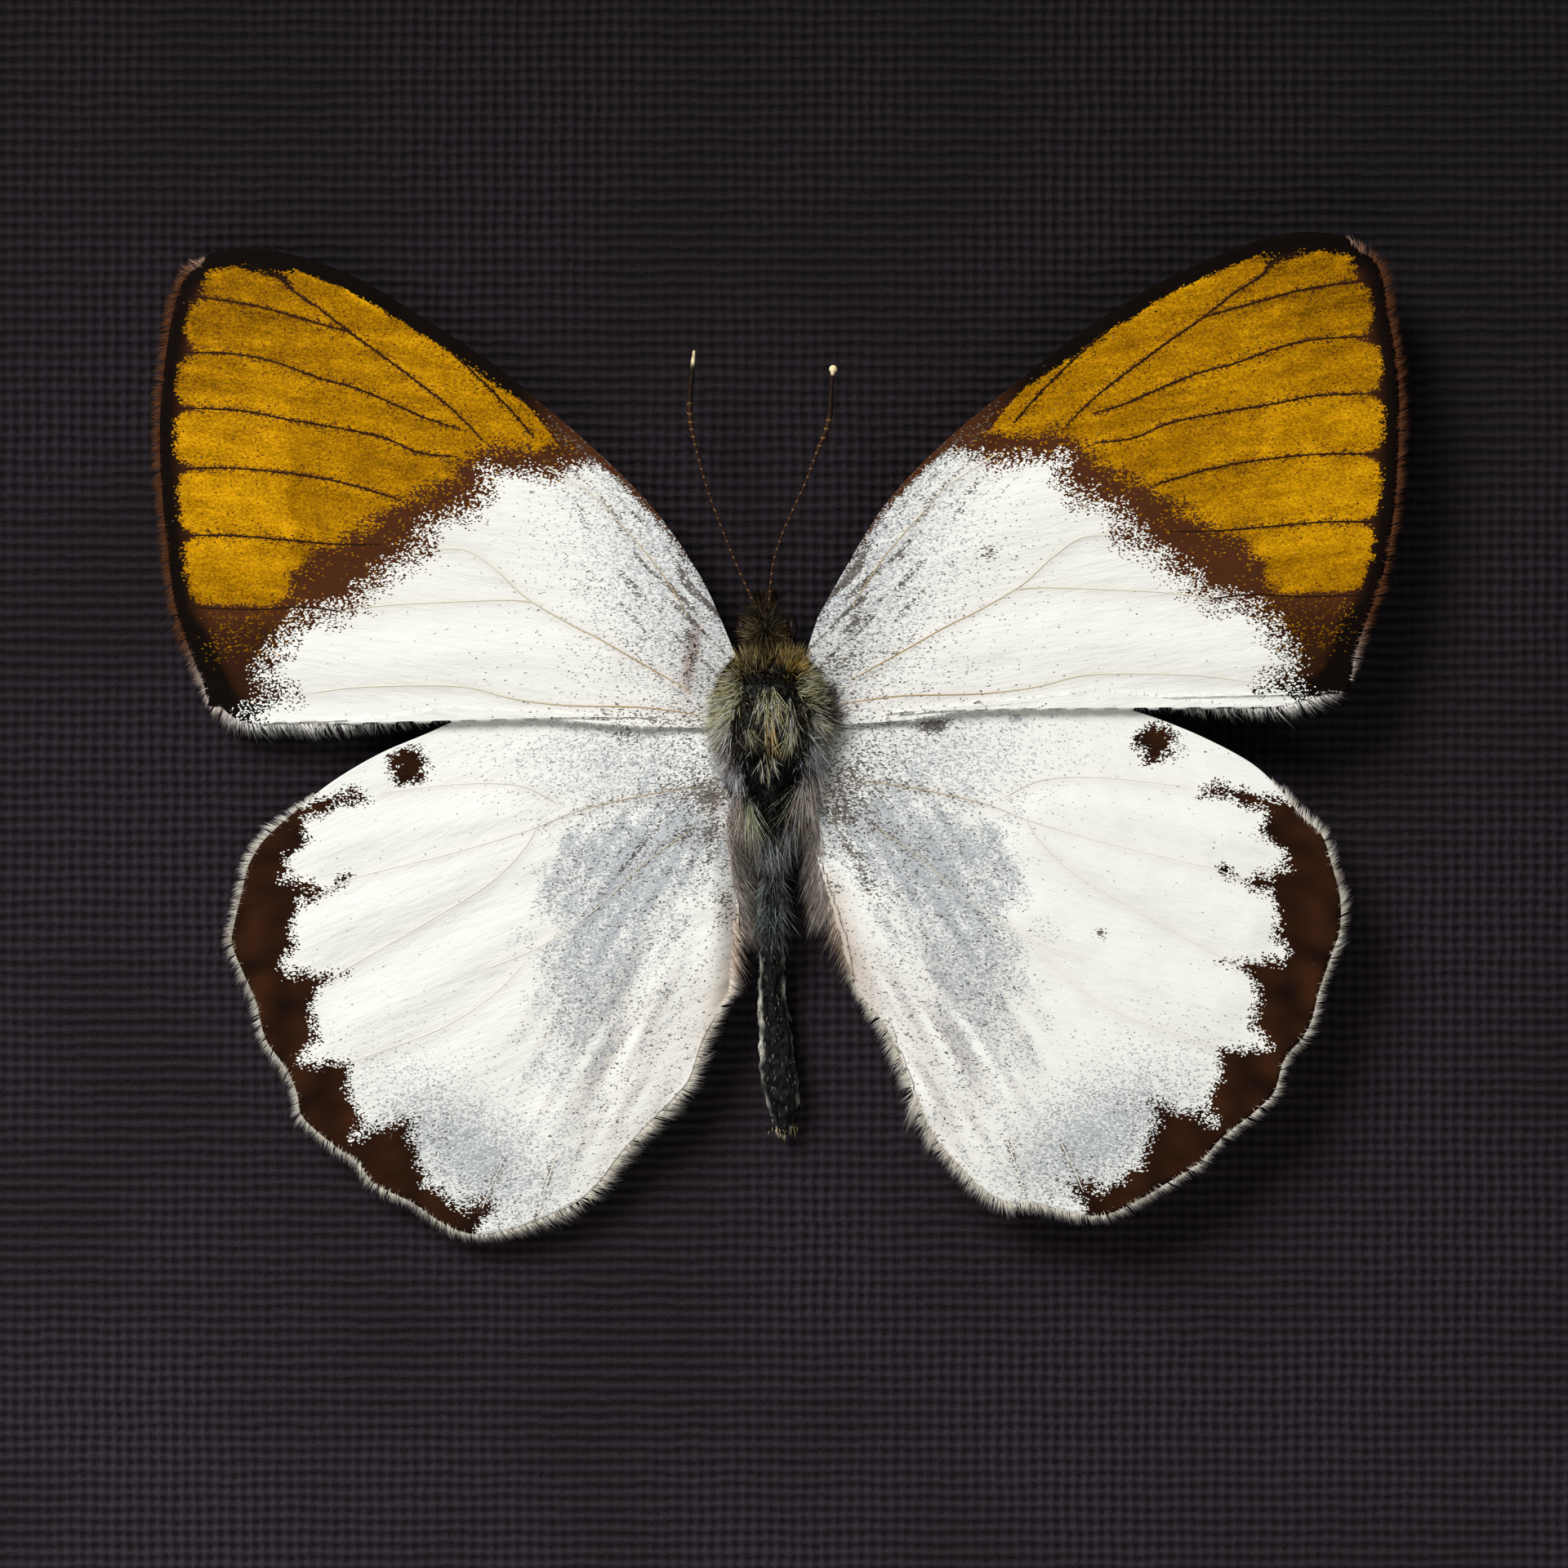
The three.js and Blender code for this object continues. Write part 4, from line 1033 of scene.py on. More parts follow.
# One coat region a row: middle, spread, strength, lie of the hair, length, how tidy it lies, colours.
COAT = [
    ((-2.9, 4.2), (0.55, 0.6), 1.3, (-0.6, -0.4, 0.45), 1.15, 0.15, ["#5a5534", "#8f8a68", "#b9b594"]),
    ((-2.3, 5.2), (0.5, 0.45), 1.0, (-0.3, 0.1, 0.8), 0.8, 0.2, ["#2f2914", "#5f5433", "#8a7f58"]),
    ((-0.8, 5.7), (1.1, 0.38), 1.5, (0.0, 0.5, 0.6), 0.95, 0.2, ["#2b2110", "#63502a", "#948052"]),
    ((0.55, 5.3), (0.45, 0.4), 1.2, (0.35, 0.1, 0.6), 0.75, 0.2, ["#543f16", "#9a7430", "#c79c4c"]),
    ((1.5, 4.3), (0.55, 0.6), 1.3, (0.6, -0.25, 0.45), 1.15, 0.15, ["#6b6547", "#97916d", "#c2bc98"]),
    ((-0.75, 4.45), (1.15, 0.5), 2.2, (0.0, -0.15, 1.0), 0.55, 0.3, ["#040303", "#0d0b09", "#1f1b14"]),
    ((-0.74, 3.4), (0.16, 0.28), 1.3, (0.02, -1.0, 0.2), 1.4, 0.12, ["#6d6648", "#b5ab80", "#e0d6ae"]),
    ((-1.65, 3.0), (0.5, 0.9), 1.3, (0.35, -0.9, 0.2), 0.9, 0.3, ["#070605", "#1d1a13", "#55523f"]),
    ((0.3, 3.0), (0.5, 0.9), 1.3, (-0.3, -0.9, 0.2), 0.9, 0.3, ["#070605", "#1d1a13", "#55523f"]),
    ((-2.95, 2.6), (0.4, 0.95), 1.0, (-0.5, -0.75, 0.2), 1.25, 0.15, ["#8a8874", "#c8c6b4", "#f0eee2"]),
    ((1.6, 2.7), (0.45, 0.95), 1.0, (0.42, -0.8, 0.2), 1.25, 0.15, ["#6d6c5c", "#a9a898", "#d9d8ca"]),
    ((2.1, 3.4), (0.3, 0.8), 0.9, (1.0, 0.2, 0.02), 1.5, 0.12, ["#0f0d0c", "#2a2622", "#5a544b"]),
    ((-2.5, 1.9), (0.22, 0.5), 0.9, (-0.2, -0.9, 0.2), 0.7, 0.2, ["#33201a", "#5e3524", "#7a4a34"]),
    ((1.9, 2.3), (0.22, 0.5), 0.9, (0.2, -0.9, 0.2), 0.7, 0.2, ["#33201a", "#5e3524", "#7a4a34"]),
    ((-2.5, 0.1), (0.45, 1.0), 1.0, (0.1, -1.0, 0.1), 1.2, 0.15, ["#6d6a70", "#a3a0a6", "#cfcdce"]),
    ((-0.7, 0.0), (0.95, 1.3), 1.9, (0.0, -0.9, 0.3), 0.55, 0.3, ["#030304", "#0b0a0a", "#1b1916"]),
    ((1.5, 0.3), (0.42, 1.1), 1.0, (0.2, -1.0, 0.1), 1.3, 0.15, ["#646970", "#a3a9af", "#d6dadd"]),
    ((-1.7, -1.5), (0.25, 0.6), 1.1, (0.18, -1.0, 0.02), 2.0, 0.12, ["#7d8263", "#b5ba97", "#d9dcc2"]),
    ((0.9, -1.1), (0.4, 0.5), 1.0, (-0.55, -0.85, 0.05), 1.7, 0.15, ["#7d8263", "#bcbf93", "#d9dcc2"]),
    ((-0.4, -2.5), (1.0, 0.9), 1.3, (0.1, -1.0, -0.05), 1.4, 0.25, ["#0f1010", "#2b2c2b", "#6a6e6c"]),
    ((0.9, -2.8), (0.4, 0.7), 0.9, (0.12, -1.0, -0.12), 2.6, 0.1, ["#5d6262", "#a4aaa8", "#d3d7d5"]),
]


# Tresses that stand out of the coat: middle, spread, fan, direction, reach, number of hairs, colours.
TRESSES = [
    ((-0.74, 3.7), (0.14, 0.2), 0.12, (0.02, -1.0, 0.4), 1.5, 110, ["#8f8660", "#d0c496", "#f0e6bd"]),
    ((-0.62, 2.7), (0.1, 0.2), 0.03, (0.06, -1.0, 0.2), 1.6, 45, ["#a98658", "#e0cb98", "#8d6a48"]),
    ((-1.5, 2.3), (0.3, 0.4), 0.35, (0.45, -1.0, 0.25), 1.1, 30, ["#8d8a6c", "#c9c59f", "#5b5740"]),
    ((0.35, 2.4), (0.3, 0.6), 0.3, (-0.2, -1.0, 0.3), 1.3, 60, ["#8d8a6c", "#d2cea8", "#5b5740"]),
    ((-0.75, 0.9), (0.7, 0.9), 0.5, (0.1, -0.7, 0.5), 0.9, 60, ["#3f3c2e", "#a9a587", "#d6d2b4"]),
    ((0.3, 2.9), (0.15, 0.8), 0.1, (-0.1, -0.9, 0.45), 1.2, 70, ["#77745a", "#bdb994", "#e2dec0"]),
    ((-3.0, 4.2), (0.4, 0.5), 0.15, (-0.75, -0.25, 0.45), 1.2, 380, ["#6d6640", "#b3ad84", "#dedabf"]),
    ((-2.9, 3.3), (0.3, 0.5), 0.1, (-0.7, -0.65, 0.25), 1.3, 300, ["#8a8560", "#c9c5a6", "#f2efe0"]),
    ((-2.8, 2.0), (0.25, 0.6), 0.1, (-0.55, -0.9, 0.12), 1.4, 260, ["#9a9a92", "#d4d3cb", "#f6f5ef"]),
    ((-2.1, 5.3), (0.5, 0.3), 0.15, (-0.35, 0.45, 0.65), 0.95, 260, ["#2b2514", "#645838", "#948a62"]),
    ((-0.8, 5.9), (0.9, 0.25), 0.2, (0.0, 0.8, 0.5), 1.15, 420, ["#2b2313", "#6b5a38", "#a89a6a"]),
    ((0.6, 5.4), (0.45, 0.3), 0.15, (0.35, 0.4, 0.55), 0.9, 200, ["#4f3d1a", "#98783c", "#c9a862"]),
    ((1.5, 4.5), (0.4, 0.45), 0.15, (0.75, 0.1, 0.4), 1.1, 320, ["#4a452c", "#97916d", "#cfcaa8"]),
    ((1.7, 3.4), (0.3, 0.5), 0.1, (0.75, -0.45, 0.25), 1.2, 240, ["#77755a", "#b9b593", "#e6e3cc"]),
    ((1.8, 3.3), (0.2, 0.7), 0.1, (1.0, 0.3, 0.0), 1.7, 230, ["#080706", "#1d1916", "#3a342d"]),
    ((1.6, 1.4), (0.25, 0.8), 0.1, (0.4, -1.0, 0.1), 1.5, 260, ["#6c7278", "#b3b8bd", "#e8eaec"]),
    ((-2.4, -0.3), (0.25, 0.8), 0.1, (0.0, -1.0, 0.1), 1.6, 240, ["#77747a", "#b5b2b6", "#e2e0e1"]),
    ((-1.6, -0.9), (0.3, 0.4), 0.15, (0.15, -1.0, 0.35), 2.4, 110, ["#7d8263", "#b9bf98", "#e0e3ca"]),
    ((1.2, -0.2), (0.3, 0.45), 0.25, (-0.75, -1.0, 0.4), 2.3, 130, ["#6d7253", "#c3c796", "#e4e6c8"]),
    ((0.5, -1.2), (0.5, 0.4), 0.2, (-0.8, -0.9, 0.3), 1.6, 60, ["#4f5442", "#a9ad84", "#d9dcc2"]),
    ((0.6, -2.2), (0.5, 0.5), 0.3, (0.15, -1.0, 0.05), 2.2, 90, ["#5a5f60", "#a9afae", "#d9dcdb"]),
    ((-0.8, -2.4), (0.7, 0.5), 0.3, (0.1, -1.0, 0.02), 1.9, 90, ["#2d3031", "#7a807f", "#b9bfbd"]),
    ((-1.6, -3.0), (0.3, 0.5), 0.15, (0.3, -1.0, 0.0), 2.0, 150, ["#4d5356", "#8f9698", "#bcc0bf"]),
    ((-2.1, -2.2), (0.2, 0.6), 0.1, (-0.1, -1.0, 0.06), 2.9, 260, ["#6a5c50", "#a99a8c", "#d9cec2"]),
    ((1.3, -3.0), (0.3, 0.6), 0.15, (0.2, -1.0, 0.0), 2.5, 190, ["#4d5356", "#949b9e", "#c9ccca"]),
    ((1.7, -2.2), (0.2, 0.6), 0.1, (0.3, -1.0, 0.06), 3.0, 260, ["#6a5c50", "#b5a698", "#ddd2c6"]),
    ((-2.9, 1.3), (0.2, 0.3), 0.1, (-0.5, -0.9, 0.0), 0.9, 110, ["#4a2417", "#7a4630", "#9a6a50"]),
    ((1.9, 2.2), (0.2, 0.3), 0.1, (0.6, -0.7, 0.0), 0.9, 110, ["#4a2417", "#7a4630", "#9a6a50"]),
]


def thorax_fur(skin, rng):
    """The coat of the thorax: an ochre collar, a black back, pale tufts and grey sides."""
    fur = Fur()
    roots, normals = surface_samples(skin, 15000, rng)
    keep = normals[:, 2] > -0.35
    roots, normals = roots[keep][:COAT_HAIRS], normals[keep][:COAT_HAIRS]
    count = len(roots)
    flat = roots[:, :2]
    weights = np.array([strength * blob(flat, middle, spread) for middle, spread, strength, *_ in COAT]).T + 1e-9
    weights /= weights.sum(1, keepdims=True)
    lies = weights @ np.array([row[3] for row in COAT])
    lengths = weights @ np.array([row[4] for row in COAT])
    loose = weights @ np.array([row[5] for row in COAT])
    picked = (weights.cumsum(1) > rng.uniform(0, 1, (count, 1))).argmax(1)
    tint = np.empty((count, 4))
    for i, row in enumerate(COAT):
        here = picked == i
        tint[here] = blend_of(row[6], rng, here.sum())
    clump = np.column_stack([waves(roots, 51 + k, 0.55) for k in range(3)])
    lie = unit(lies + 0.3 * normals + 0.3 * clump + rng.normal(0, 1.5, (count, 3)) * loose[:, None])
    tint = tint * (1.6 + np.clip(waves(roots, 61, 0.3), -1, 1))[:, None] * rng.uniform(0.6, 1.4, (count, 1))
    tint = np.minimum(tint, 0.95)
    length = lengths * rng.uniform(0.45, 1.25, count)
    fur.add(roots, lie, length, 0.1, rng.uniform(0.022, 0.048, count), tint * 0.35, tint)
    return fur


def thorax_tresses(skin, rng):
    """Longer hair in tresses over the coat."""
    fur = Fur()
    roots, normals = surface_samples(skin, 9000, rng)
    roots = roots[normals[:, 2] > -0.1]
    for middle, spread, fan, toward, reach, hairs, hexes in TRESSES:
        nearest = np.argsort(((roots[:, :2] - middle) / spread) ** 2 @ [1, 1])[:hairs]
        start = roots[rng.choice(nearest, hairs)] + np.array([0, 0, 0.3]) * rng.uniform(0, 1, (hairs, 1))
        lie = np.array(toward) + rng.normal(0, 0.2, (hairs, 3))
        lie[:, 0] += fan * (start[:, 0] - middle[0]) / spread[0]
        tint = np.minimum(blend_of(hexes, rng, hairs) * rng.uniform(0.6, 2.6, (hairs, 1)), 0.95)
        fur.add(start, unit(lie), reach * rng.uniform(0.4, 1.15, hairs), 0.1, rng.uniform(0.024, 0.045, hairs),
                tint * 0.5, tint)
    return fur


def head_fur(skin, rng):
    """Brown and ochre bristles over the head, thickest between the eyes and longer at the front, with painted shade
    that darkens the front of the head.
    """
    fur = Fur()
    roots, normals = surface_samples(skin, 3400, rng)
    keep = normals[:, 2] > -0.4
    roots, normals = roots[keep], normals[keep]
    count = len(roots)
    x, y = roots[:, 0], roots[:, 1]
    middle = (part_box("head")[0].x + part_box("head")[1].x) / 2 / MM
    lie = 0.2 * normals + rng.normal(0, 0.8, (count, 3)) + 0.45 * waves(roots, 71, 0.3)[:, None]
    lie = unit(lie + np.column_stack([0.6 * (x - middle), np.full(count, -0.1), np.full(count, 0.45)]))
    tint = blend_of(["#0a0706", "#2e2416", "#7d6c4c", "#b3a684", "#120d0a"], rng, count)
    # painted shade: hair at the front of the head is made much darker than the hair behind it
    shade = 0.32 + 1.7 * smoothstep(y.max() - 0.5, y.max() - 1.2, y)
    tint *= (shade * (1.8 + 1.3 * np.clip(waves(roots, 72, 0.35), -1, 1)))[:, None]
    length = rng.uniform(0.15, 0.8, count)
    fur.add(roots, lie, length, 0.05, rng.uniform(0.02, 0.042, count), tint * 0.3, tint)
    n = HEAD_FRONT_HAIRS
    front = rng.choice(np.argsort(-y)[:260], n)
    lie = unit(np.column_stack([rng.normal(0.1, 0.35, n), np.full(n, 1.0), rng.normal(0.35, 0.25, n)]))
    tint = blend_of(["#050403", "#1a120a", "#4d3c24"], rng, n)
    fur.add(roots[front], lie, rng.uniform(0.4, 1.1, n), 0.05, rng.uniform(0.03, 0.045, n), tint, tint)
    for side, hairs, reach in ((-1, 1500, 1.3), (1, 900, 1.0)):
        band = np.argsort(np.abs(side * (x - middle) - 0.3) - 0.6 * normals[:, 2])[:900]
        chosen = rng.choice(band, hairs)
        lie = unit(np.array([side * 0.6, 0.1, 0.4]) + rng.normal(0, 0.7, (hairs, 3)))
        tint = blend_of(["#0d0907", "#2b2014", "#5f5038", "#9a8a66"], rng, hairs)
        # the same painted shade darkens the side hair at the front of the head
        tint *= (shade[chosen] * (1.3 + 0.9 * np.clip(waves(roots[chosen], 74, 0.4), -1, 1)))[:, None]
        fur.add(roots[chosen] + [0, 0, 0.35], lie, reach * rng.uniform(0.6, 1.1, hairs), 0.08,
                rng.uniform(0.025, 0.045, hairs), tint * 0.6, tint)
    return fur


def abdomen_skin(material, seed=3):
    """The abdomen: shrunken segments with lengthwise wrinkles and a pale pinched fold along each flank."""
    mesh = refined_copy("abdomen", "abdomen_skin", 3)
    points = get_points(mesh)
    low, high = points.min(0), points.max(0)
    along = (high[1] - points[:, 1]) / (high[1] - low[1])
    segment = np.abs(np.sin(along * math.pi * 8.5)) ** 0.5
    lengthwise = waves(np.column_stack([points[:, 0] * 3.2, points[:, 1] * 0.25, points[:, 2] * 3.2]), seed, 1.6)
    stations, middles, halves = centre_line(points)
    middle = np.interp(points[:, 1], stations, middles)
    flank = (points[:, 0] - middle) / np.interp(points[:, 1], stations, halves)
    kept = np.where(flank < 0, 1.0, 0.35 + 0.65 * smoothstep(0.6, 0.45, along))
    pinch = smoothstep(0.8, 0.97, np.abs(flank)) * smoothstep(0.0, 0.08, along) * kept
    pinch = pinch * (0.7 + 0.3 * waves(points, 16, 1.4))
    depth = 0.06 * (segment - 1) + 0.07 * lengthwise + 0.05 * waves(points, 14, 0.45) - 0.06
    moved = points + get_normals(mesh) * depth[:, None]
    moved[:, 0] += np.sign(points[:, 0] - middle) * 0.1 * pinch
    set_points(mesh, moved)
    set_field(mesh, "pale", np.clip(pinch * (0.6 + 0.4 * waves(points, 8, 0.8)), 0, 1))
    return place("abdomen_skin", mesh, "abdomen", "abdomen", material=material)


def centre_line(points):
    """Stations along a long part in rising order, with the x of its middle and its half width at each."""
    edges = np.linspace(points[:, 1].min(), points[:, 1].max(), 25)
    middles, halves = [], []
    for a, b in zip(edges[:-1], edges[1:]):
        part = points[(points[:, 1] >= a) & (points[:, 1] <= b), 0]
        middles.append((part.min() + part.max()) / 2)
        halves.append((part.max() - part.min()) / 2)
    return (edges[:-1] + edges[1:]) / 2, np.array(middles), np.array(halves)


def abdomen_material():
    """Shrivelled black skin: faintly glossy on its wrinkles, chalky along the pinched flanks."""
    material, tree, shader = new_material("dried_insect_skin", Roughness=0.4, IOR=1.5, Specular_IOR_Level=0.22)
    spot = add(tree, "ShaderNodeTexCoord").outputs["Object"]
    stretched = add(tree, "ShaderNodeMapping", {"Vector": spot, "Scale": (1, 0.5, 1)}).outputs[0]
    mottle = add(tree, "ShaderNodeTexNoise", {"Vector": stretched, "Scale": 1 / (0.22 * MM), "Detail": 6.0,
                                              "Roughness": 0.65})
    ramp = add(tree, "ShaderNodeValToRGB", {"Fac": mottle.outputs["Fac"]})
    ramp.color_ramp.elements[0].position = 0.55
    ramp.color_ramp.elements[0].color = linear("#050405")
    ramp.color_ramp.elements[1].position = 0.8
    ramp.color_ramp.elements[1].color = linear("#2a2829")
    pale = add(tree, "ShaderNodeAttribute", attribute_name="pale")
    chalk = add(tree, "ShaderNodeMix", {"Factor": pale.outputs["Fac"], "A": ramp.outputs["Color"],
                                        "B": linear("#e4e1d2")}, data_type="RGBA")
    tree.links.new(chalk.outputs["Result"], shader.inputs["Base Color"])
    bump = add(tree, "ShaderNodeBump", {"Height": mottle.outputs["Fac"], "Strength": 1.0, "Distance": 0.16 * MM})
    tree.links.new(bump.outputs["Normal"], shader.inputs["Normal"])
    return material


def abdomen_scales(skin, rng):
    """Hair and scales left on the abdomen, long and grey by the thorax, with an ochre brush at its tip."""
    fur = Fur()
    tried = 2800
    roots, normals = surface_samples(skin, tried, rng)
    front = roots[:, 1].max()
    dense = 0.32 + 0.68 * smoothstep(front - 4.2, front - 2.4, roots[:, 1])
    keep = (normals[:, 2] > -0.3) & (rng.uniform(0, 1, tried) < dense)
    roots, normals = roots[keep], normals[keep]
    count = len(roots)
    long = smoothstep(front - 4.4, front - 2.2, roots[:, 1])
    lie = unit(np.array([0, -1.0, 0.0]) + 0.3 * normals + rng.normal(0, 0.2, (count, 3)))
    tint = blend_of(["#0b0a0b", "#151415", "#3c3b3a", "#b9b8ac"], rng, count)
    tint = mixed(tint, blend_of(["#17191a", "#555a5c", "#aab0b2"], rng, count), long)
    lie += rng.normal(0, 0.25, (count, 3)) * long[:, None]
    fur.add(roots, lie, rng.uniform(0.12, 0.3, count) * (1 + 3.2 * long), 0.03, rng.uniform(0.02, 0.045, count),
            tint, tint)
    n = TIP_HAIRS
    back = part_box("abdomen")[0].y / MM
    roots = np.array([0.0, back + 0.45, CARD_TOP + 0.8]) + rng.normal(0, 1, (n, 3)) * [0.22, 0.15, 0.15]
    lie = np.array([0, -1.0, 0.05]) + rng.normal(0, 0.2, (n, 3))
    tint = blend_of(["#8f7a4e", "#cbb98d", "#efe6cc"], rng, n)
    fur.add(roots, lie, rng.uniform(0.2, 0.42, n), 0.02, 0.04, tint, tint)
    return fur


# ---------------------------------------------------------------- settings and operators


class SpecimenSettings(bpy.types.PropertyGroup):
    """Sizes and strengths that a user would change."""

    view_width: bpy.props.FloatProperty(
        name="View width", description="Width of the camera's view at the wings",
        default=69.8 * MM, unit="LENGTH")
    camera_height: bpy.props.FloatProperty(
        name="Camera height", description="Height of the camera above the wings", default=0.4, unit="LENGTH")
    key_energy: bpy.props.FloatProperty(
        name="Key light", description="Power of the soft lamp at the upper left", default=5.6, unit="POWER")
    world_strength: bpy.props.FloatProperty(
        name="Surrounding light", description="Strength of the even light of the room", default=0.2)
    seed: bpy.props.IntProperty(name="Seed", description="Start of every random draw", default=7)


class SPECIMEN_OT_card(bpy.types.Operator):
    """Make the mounting card with its softened, cut edges"""

    bl_idname = "specimen.card"
    bl_label = "Mounting card"

    def execute(self, context):
        low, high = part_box("mounting_card")
        bm = bmesh.new()
        bmesh.ops.create_cube(bm, size=1.0)
        bmesh.ops.scale(bm, vec=high - low, verts=bm.verts)
        bmesh.ops.translate(bm, vec=(low + high) / 2, verts=bm.verts)
        bmesh.ops.bevel(bm, geom=bm.edges, offset=CARD_EDGE * MM, segments=4, profile=0.5, affect="EDGES",
                         material=-1)
        mesh = bpy.data.meshes.new("card")
        bm.to_mesh(mesh)
        bm.free()
        place("card", mesh, "card", "mounting_card", material=linen_card(), smooth=False)
        return {"FINISHED"}


class SPECIMEN_OT_wings(bpy.types.Operator):
    """Make the four wings with their veins and fringes"""

    bl_idname = "specimen.wings"
    bl_label = "Wings"

    def execute(self, context):
        rng = np.random.default_rng(context.scene.specimen.seed)
        hair = tinted_hair("wing_fringe_scales", 0.75)
        vein = tinted_hair("wing_vein_tubes", 0.6)
        turns = {("left", "forewing"): 165, ("right", "forewing"): 15,
                 ("left", "hindwing"): 215, ("right", "hindwing"): -35}
        for (side, kind), wing in WINGS.items():
            wing_sheet(wing, wing_scales(f"{side}_{kind}", turns[side, kind]))
            vein_tubes(wing, vein)
            fringe(wing, hair, rng)
        return {"FINISHED"}


class SPECIMEN_OT_body(bpy.types.Operator):
    """Make the thorax, head and abdomen with their fur"""

    bl_idname = "specimen.body"
    bl_label = "Body and fur"

    def execute(self, context):
        rng = np.random.default_rng(context.scene.specimen.seed + 1)
        hair = tinted_hair("insect_fur", 0.6)
        dark = chitin("thorax_skin", "#050404", "#1d1914", 0.6)
        thorax = skin_of("thorax", "thorax_skin", "fur", dark, 0.4, 2, 0.05, 11)
        place("thorax_fur", thorax_fur(thorax, rng).mesh("thorax_fur"), "fur", material=hair)
        place("thorax_tresses", thorax_tresses(thorax, rng).mesh("thorax_tresses"), "fur", material=hair)
        head = skin_of("head", "head_skin", "fur", dark, 0.42, 2, 0.05, 12)
        place("head_fur", head_fur(head, rng).mesh("head_fur"), "fur", material=hair)
        abdomen = abdomen_skin(abdomen_material())
        place("abdomen_scales", abdomen_scales(abdomen, rng).mesh("abdomen_scales", 2), "abdomen", material=hair)
        return {"FINISHED"}


class SPECIMEN_OT_small_parts(bpy.types.Operator):
    """Make the antennae, eyes, palps, proboscis and legs"""

    bl_idname = "specimen.small_parts"
    bl_label = "Antennae, eyes, mouthparts and legs"

    def execute(self, context):
        rng = np.random.default_rng(context.scene.specimen.seed + 2)
        antenna = antenna_horn()
        horn = chitin("leg_horn", "#2a1c12", "#6d5438", 0.5)
        core = chitin("palp_skin", "#070504", "#241a10", 0.6)
        hair = tinted_hair("palp_bristles", 0.6)
        eye = compound_eye()
        skin_of("proboscis", "proboscis_coil", "horn", horn, 0.0, 1)
        for side in SIDES:
            antenna_shaft(side, antenna)
            skin_of(f"{side}_eye", f"{side}_eye_globe", "eye", eye, 0.14, 2)
            palp = skin_of(f"{side}_palp", f"{side}_palp_core", "palp", core, 0.12, 2)
            fur = Fur()
            roots, normals = surface_samples(palp, 190, rng)
            lie = unit(0.6 * normals + [0, 0.9, 0.3] + rng.normal(0, 0.3, roots.shape))
            tint = blend_of(["#060403", "#1d140c", "#54432a"], rng, len(roots))
            fur.add(roots, lie, rng.uniform(0.2, 0.75, len(roots)), 0.03, 0.03, tint, tint)
            place(f"{side}_palp_bristles", fur.mesh(f"{side}_palp_bristles", 2), "palp", material=hair)
            for pair in ("fore", "mid", "hind"):
                skin_of(f"{side}_{pair}_leg", f"{side}_{pair}_leg_shell", "horn", horn, 0.0, 2)
        return {"FINISHED"}


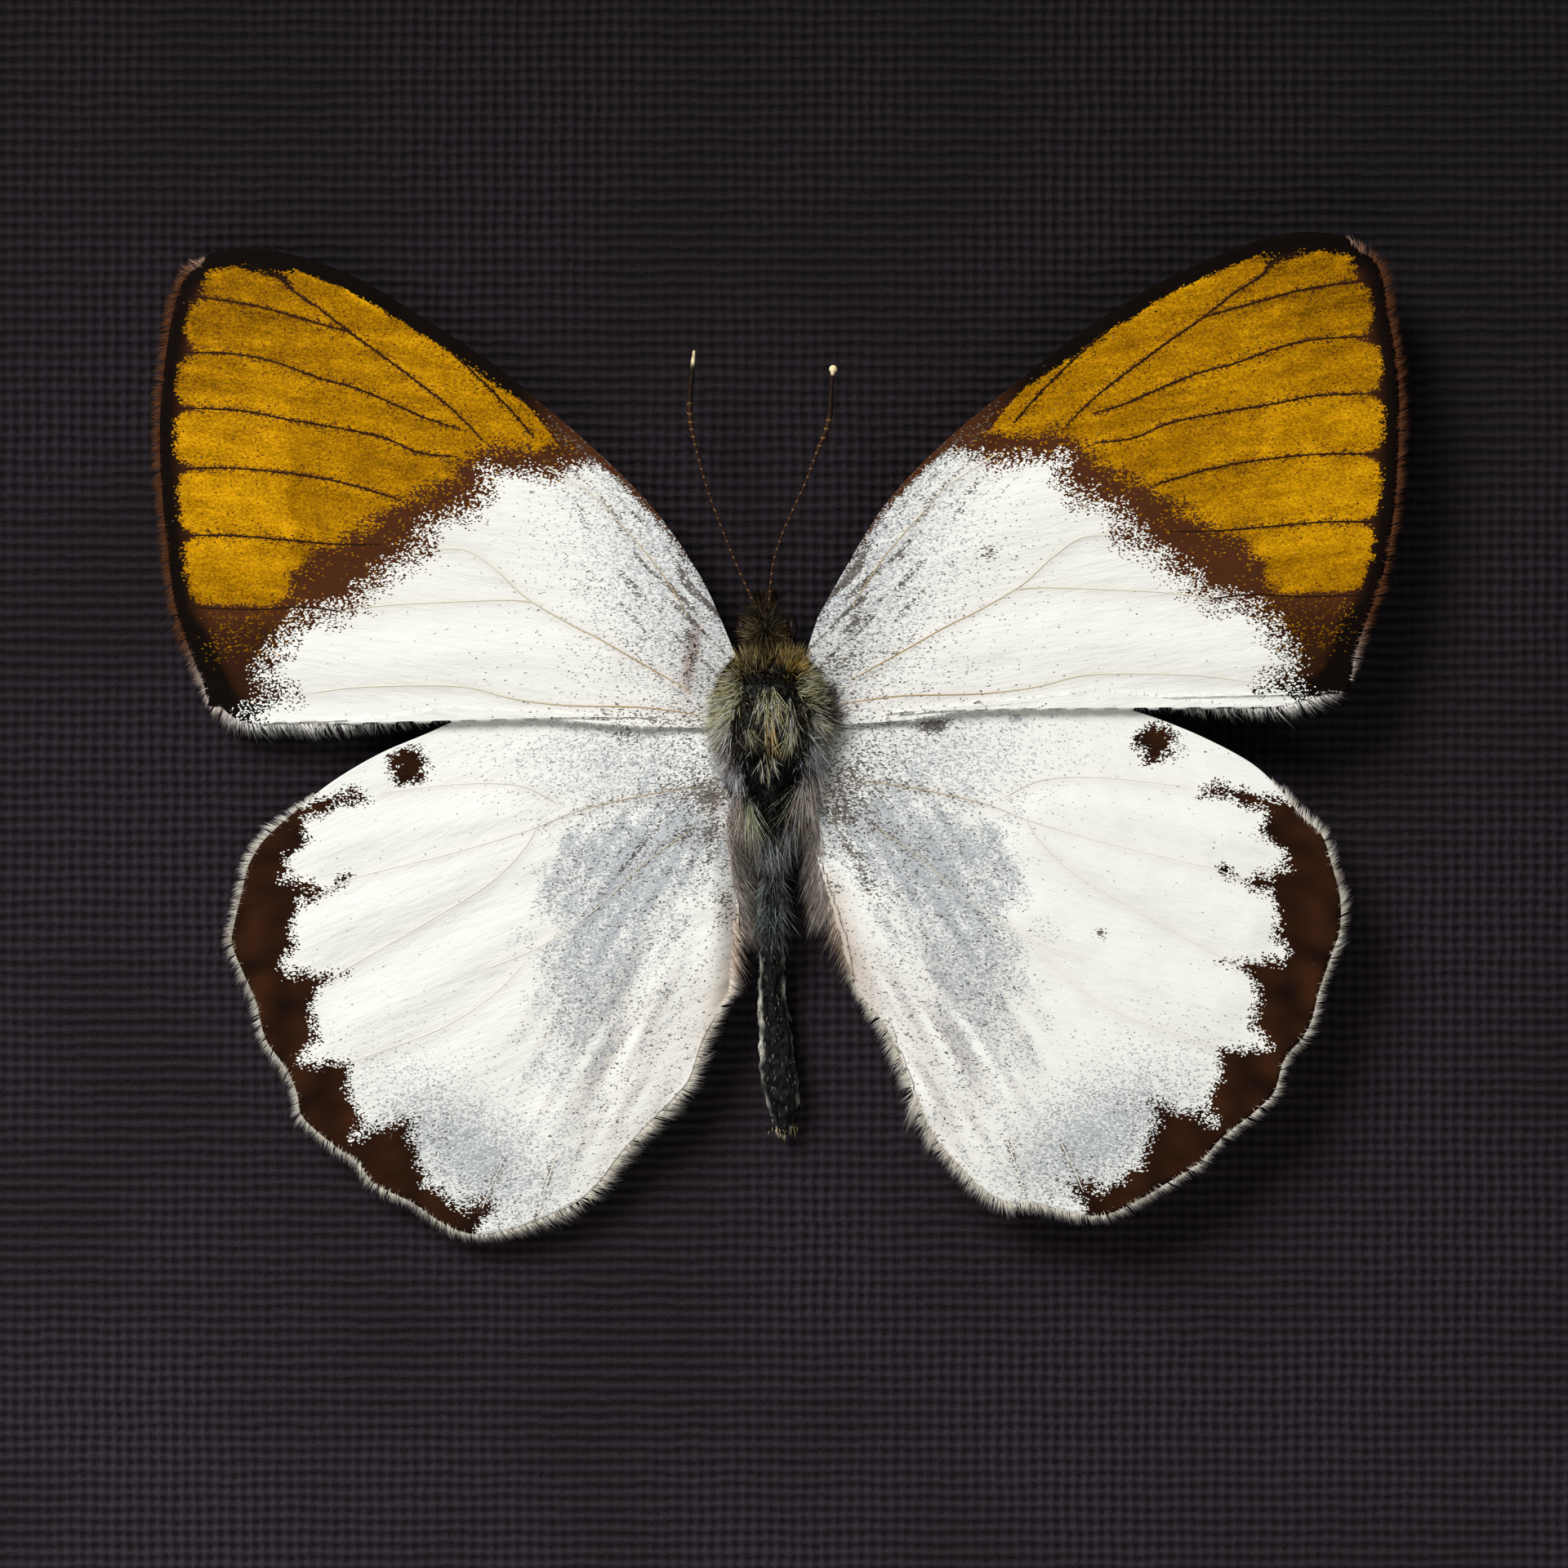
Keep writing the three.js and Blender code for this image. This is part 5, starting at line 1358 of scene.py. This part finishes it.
class SPECIMEN_OT_stage(bpy.types.Operator):
    """Make the pale floor, the lamps and the camera"""

    bl_idname = "specimen.stage"
    bl_label = "Stage"

    def execute(self, context):
        scene, settings = context.scene, context.scene.specimen
        bm = bmesh.new()
        bmesh.ops.create_grid(bm, x_segments=4, y_segments=4, size=0.6)
        mesh = bpy.data.meshes.new("floor")
        bm.to_mesh(mesh)
        bm.free()
        floor = bpy.data.objects.new("floor", mesh)
        scene.collection.objects.link(floor)
        material, _, shader = new_material("pale_floor", Roughness=0.9)
        shader.inputs["Base Color"].default_value = linear("#d8d5cf")
        mesh.materials.append(material)
        self.lamp(scene, "key", (-0.32, 0.4, 0.5), 0.3, settings.key_energy)
        self.lamp(scene, "fill", (-0.03, -0.2, 0.3), 0.12, settings.key_energy * 0.045)
        world = bpy.data.worlds.new("studio")
        world.use_nodes = True
        world.node_tree.nodes["Background"].inputs["Color"].default_value = linear("#f4f2f0")
        world.node_tree.nodes["Background"].inputs["Strength"].default_value = settings.world_strength
        scene.world = world
        scene.view_settings.view_transform = "Standard"
        data = bpy.data.cameras.new("camera")
        data.clip_start = 0.01
        data.lens = data.sensor_width * settings.camera_height / settings.view_width
        camera = bpy.data.objects.new("camera", data)
        wings_top = (CARD_TOP + 3) * MM
        camera.location = (0, 0, wings_top + settings.camera_height)
        scene.collection.objects.link(camera)
        scene.camera = camera
        return {"FINISHED"}

    @staticmethod
    def lamp(scene, name, location, size, energy):
        """Adds a soft square lamp that faces the specimen."""
        data = bpy.data.lights.new(name, "AREA")
        data.size = size
        data.energy = energy
        lamp = bpy.data.objects.new(name, data)
        lamp.location = location
        lamp.rotation_euler = (-Vector(location)).to_track_quat("-Z", "Y").to_euler()
        scene.collection.objects.link(lamp)


OPERATORS = (SPECIMEN_OT_card, SPECIMEN_OT_wings, SPECIMEN_OT_body, SPECIMEN_OT_small_parts, SPECIMEN_OT_stage)


class SPECIMEN_PT_panel(bpy.types.Panel):
    """Lists the steps that dress the specimen"""

    bl_label = "Set butterfly specimen"
    bl_space_type = "VIEW_3D"
    bl_region_type = "UI"
    bl_category = "Specimen"

    def draw(self, context):
        for name in SpecimenSettings.__annotations__:
            self.layout.prop(context.scene.specimen, name)
        for operator in OPERATORS:
            self.layout.operator(operator.bl_idname)


CLASSES = (SpecimenSettings, *OPERATORS, SPECIMEN_PT_panel)
WINGS = {}


def register():
    """Adds the classes and the settings."""
    for cls in CLASSES:
        bpy.utils.register_class(cls)
    bpy.types.Scene.specimen = bpy.props.PointerProperty(type=SpecimenSettings)


def unregister():
    """Takes the settings and the classes away again."""
    del bpy.types.Scene.specimen
    for cls in reversed(CLASSES):
        bpy.utils.unregister_class(cls)


def main():
    """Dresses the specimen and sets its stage."""
    register()
    for side in SIDES:
        for kind in ("forewing", "hindwing"):
            WINGS[side, kind] = Wing(side, kind)
    bpy.ops.specimen.card()
    bpy.ops.specimen.wings()
    bpy.ops.specimen.body()
    bpy.ops.specimen.small_parts()
    bpy.ops.specimen.stage()


if __name__ == "__main__":
    main()
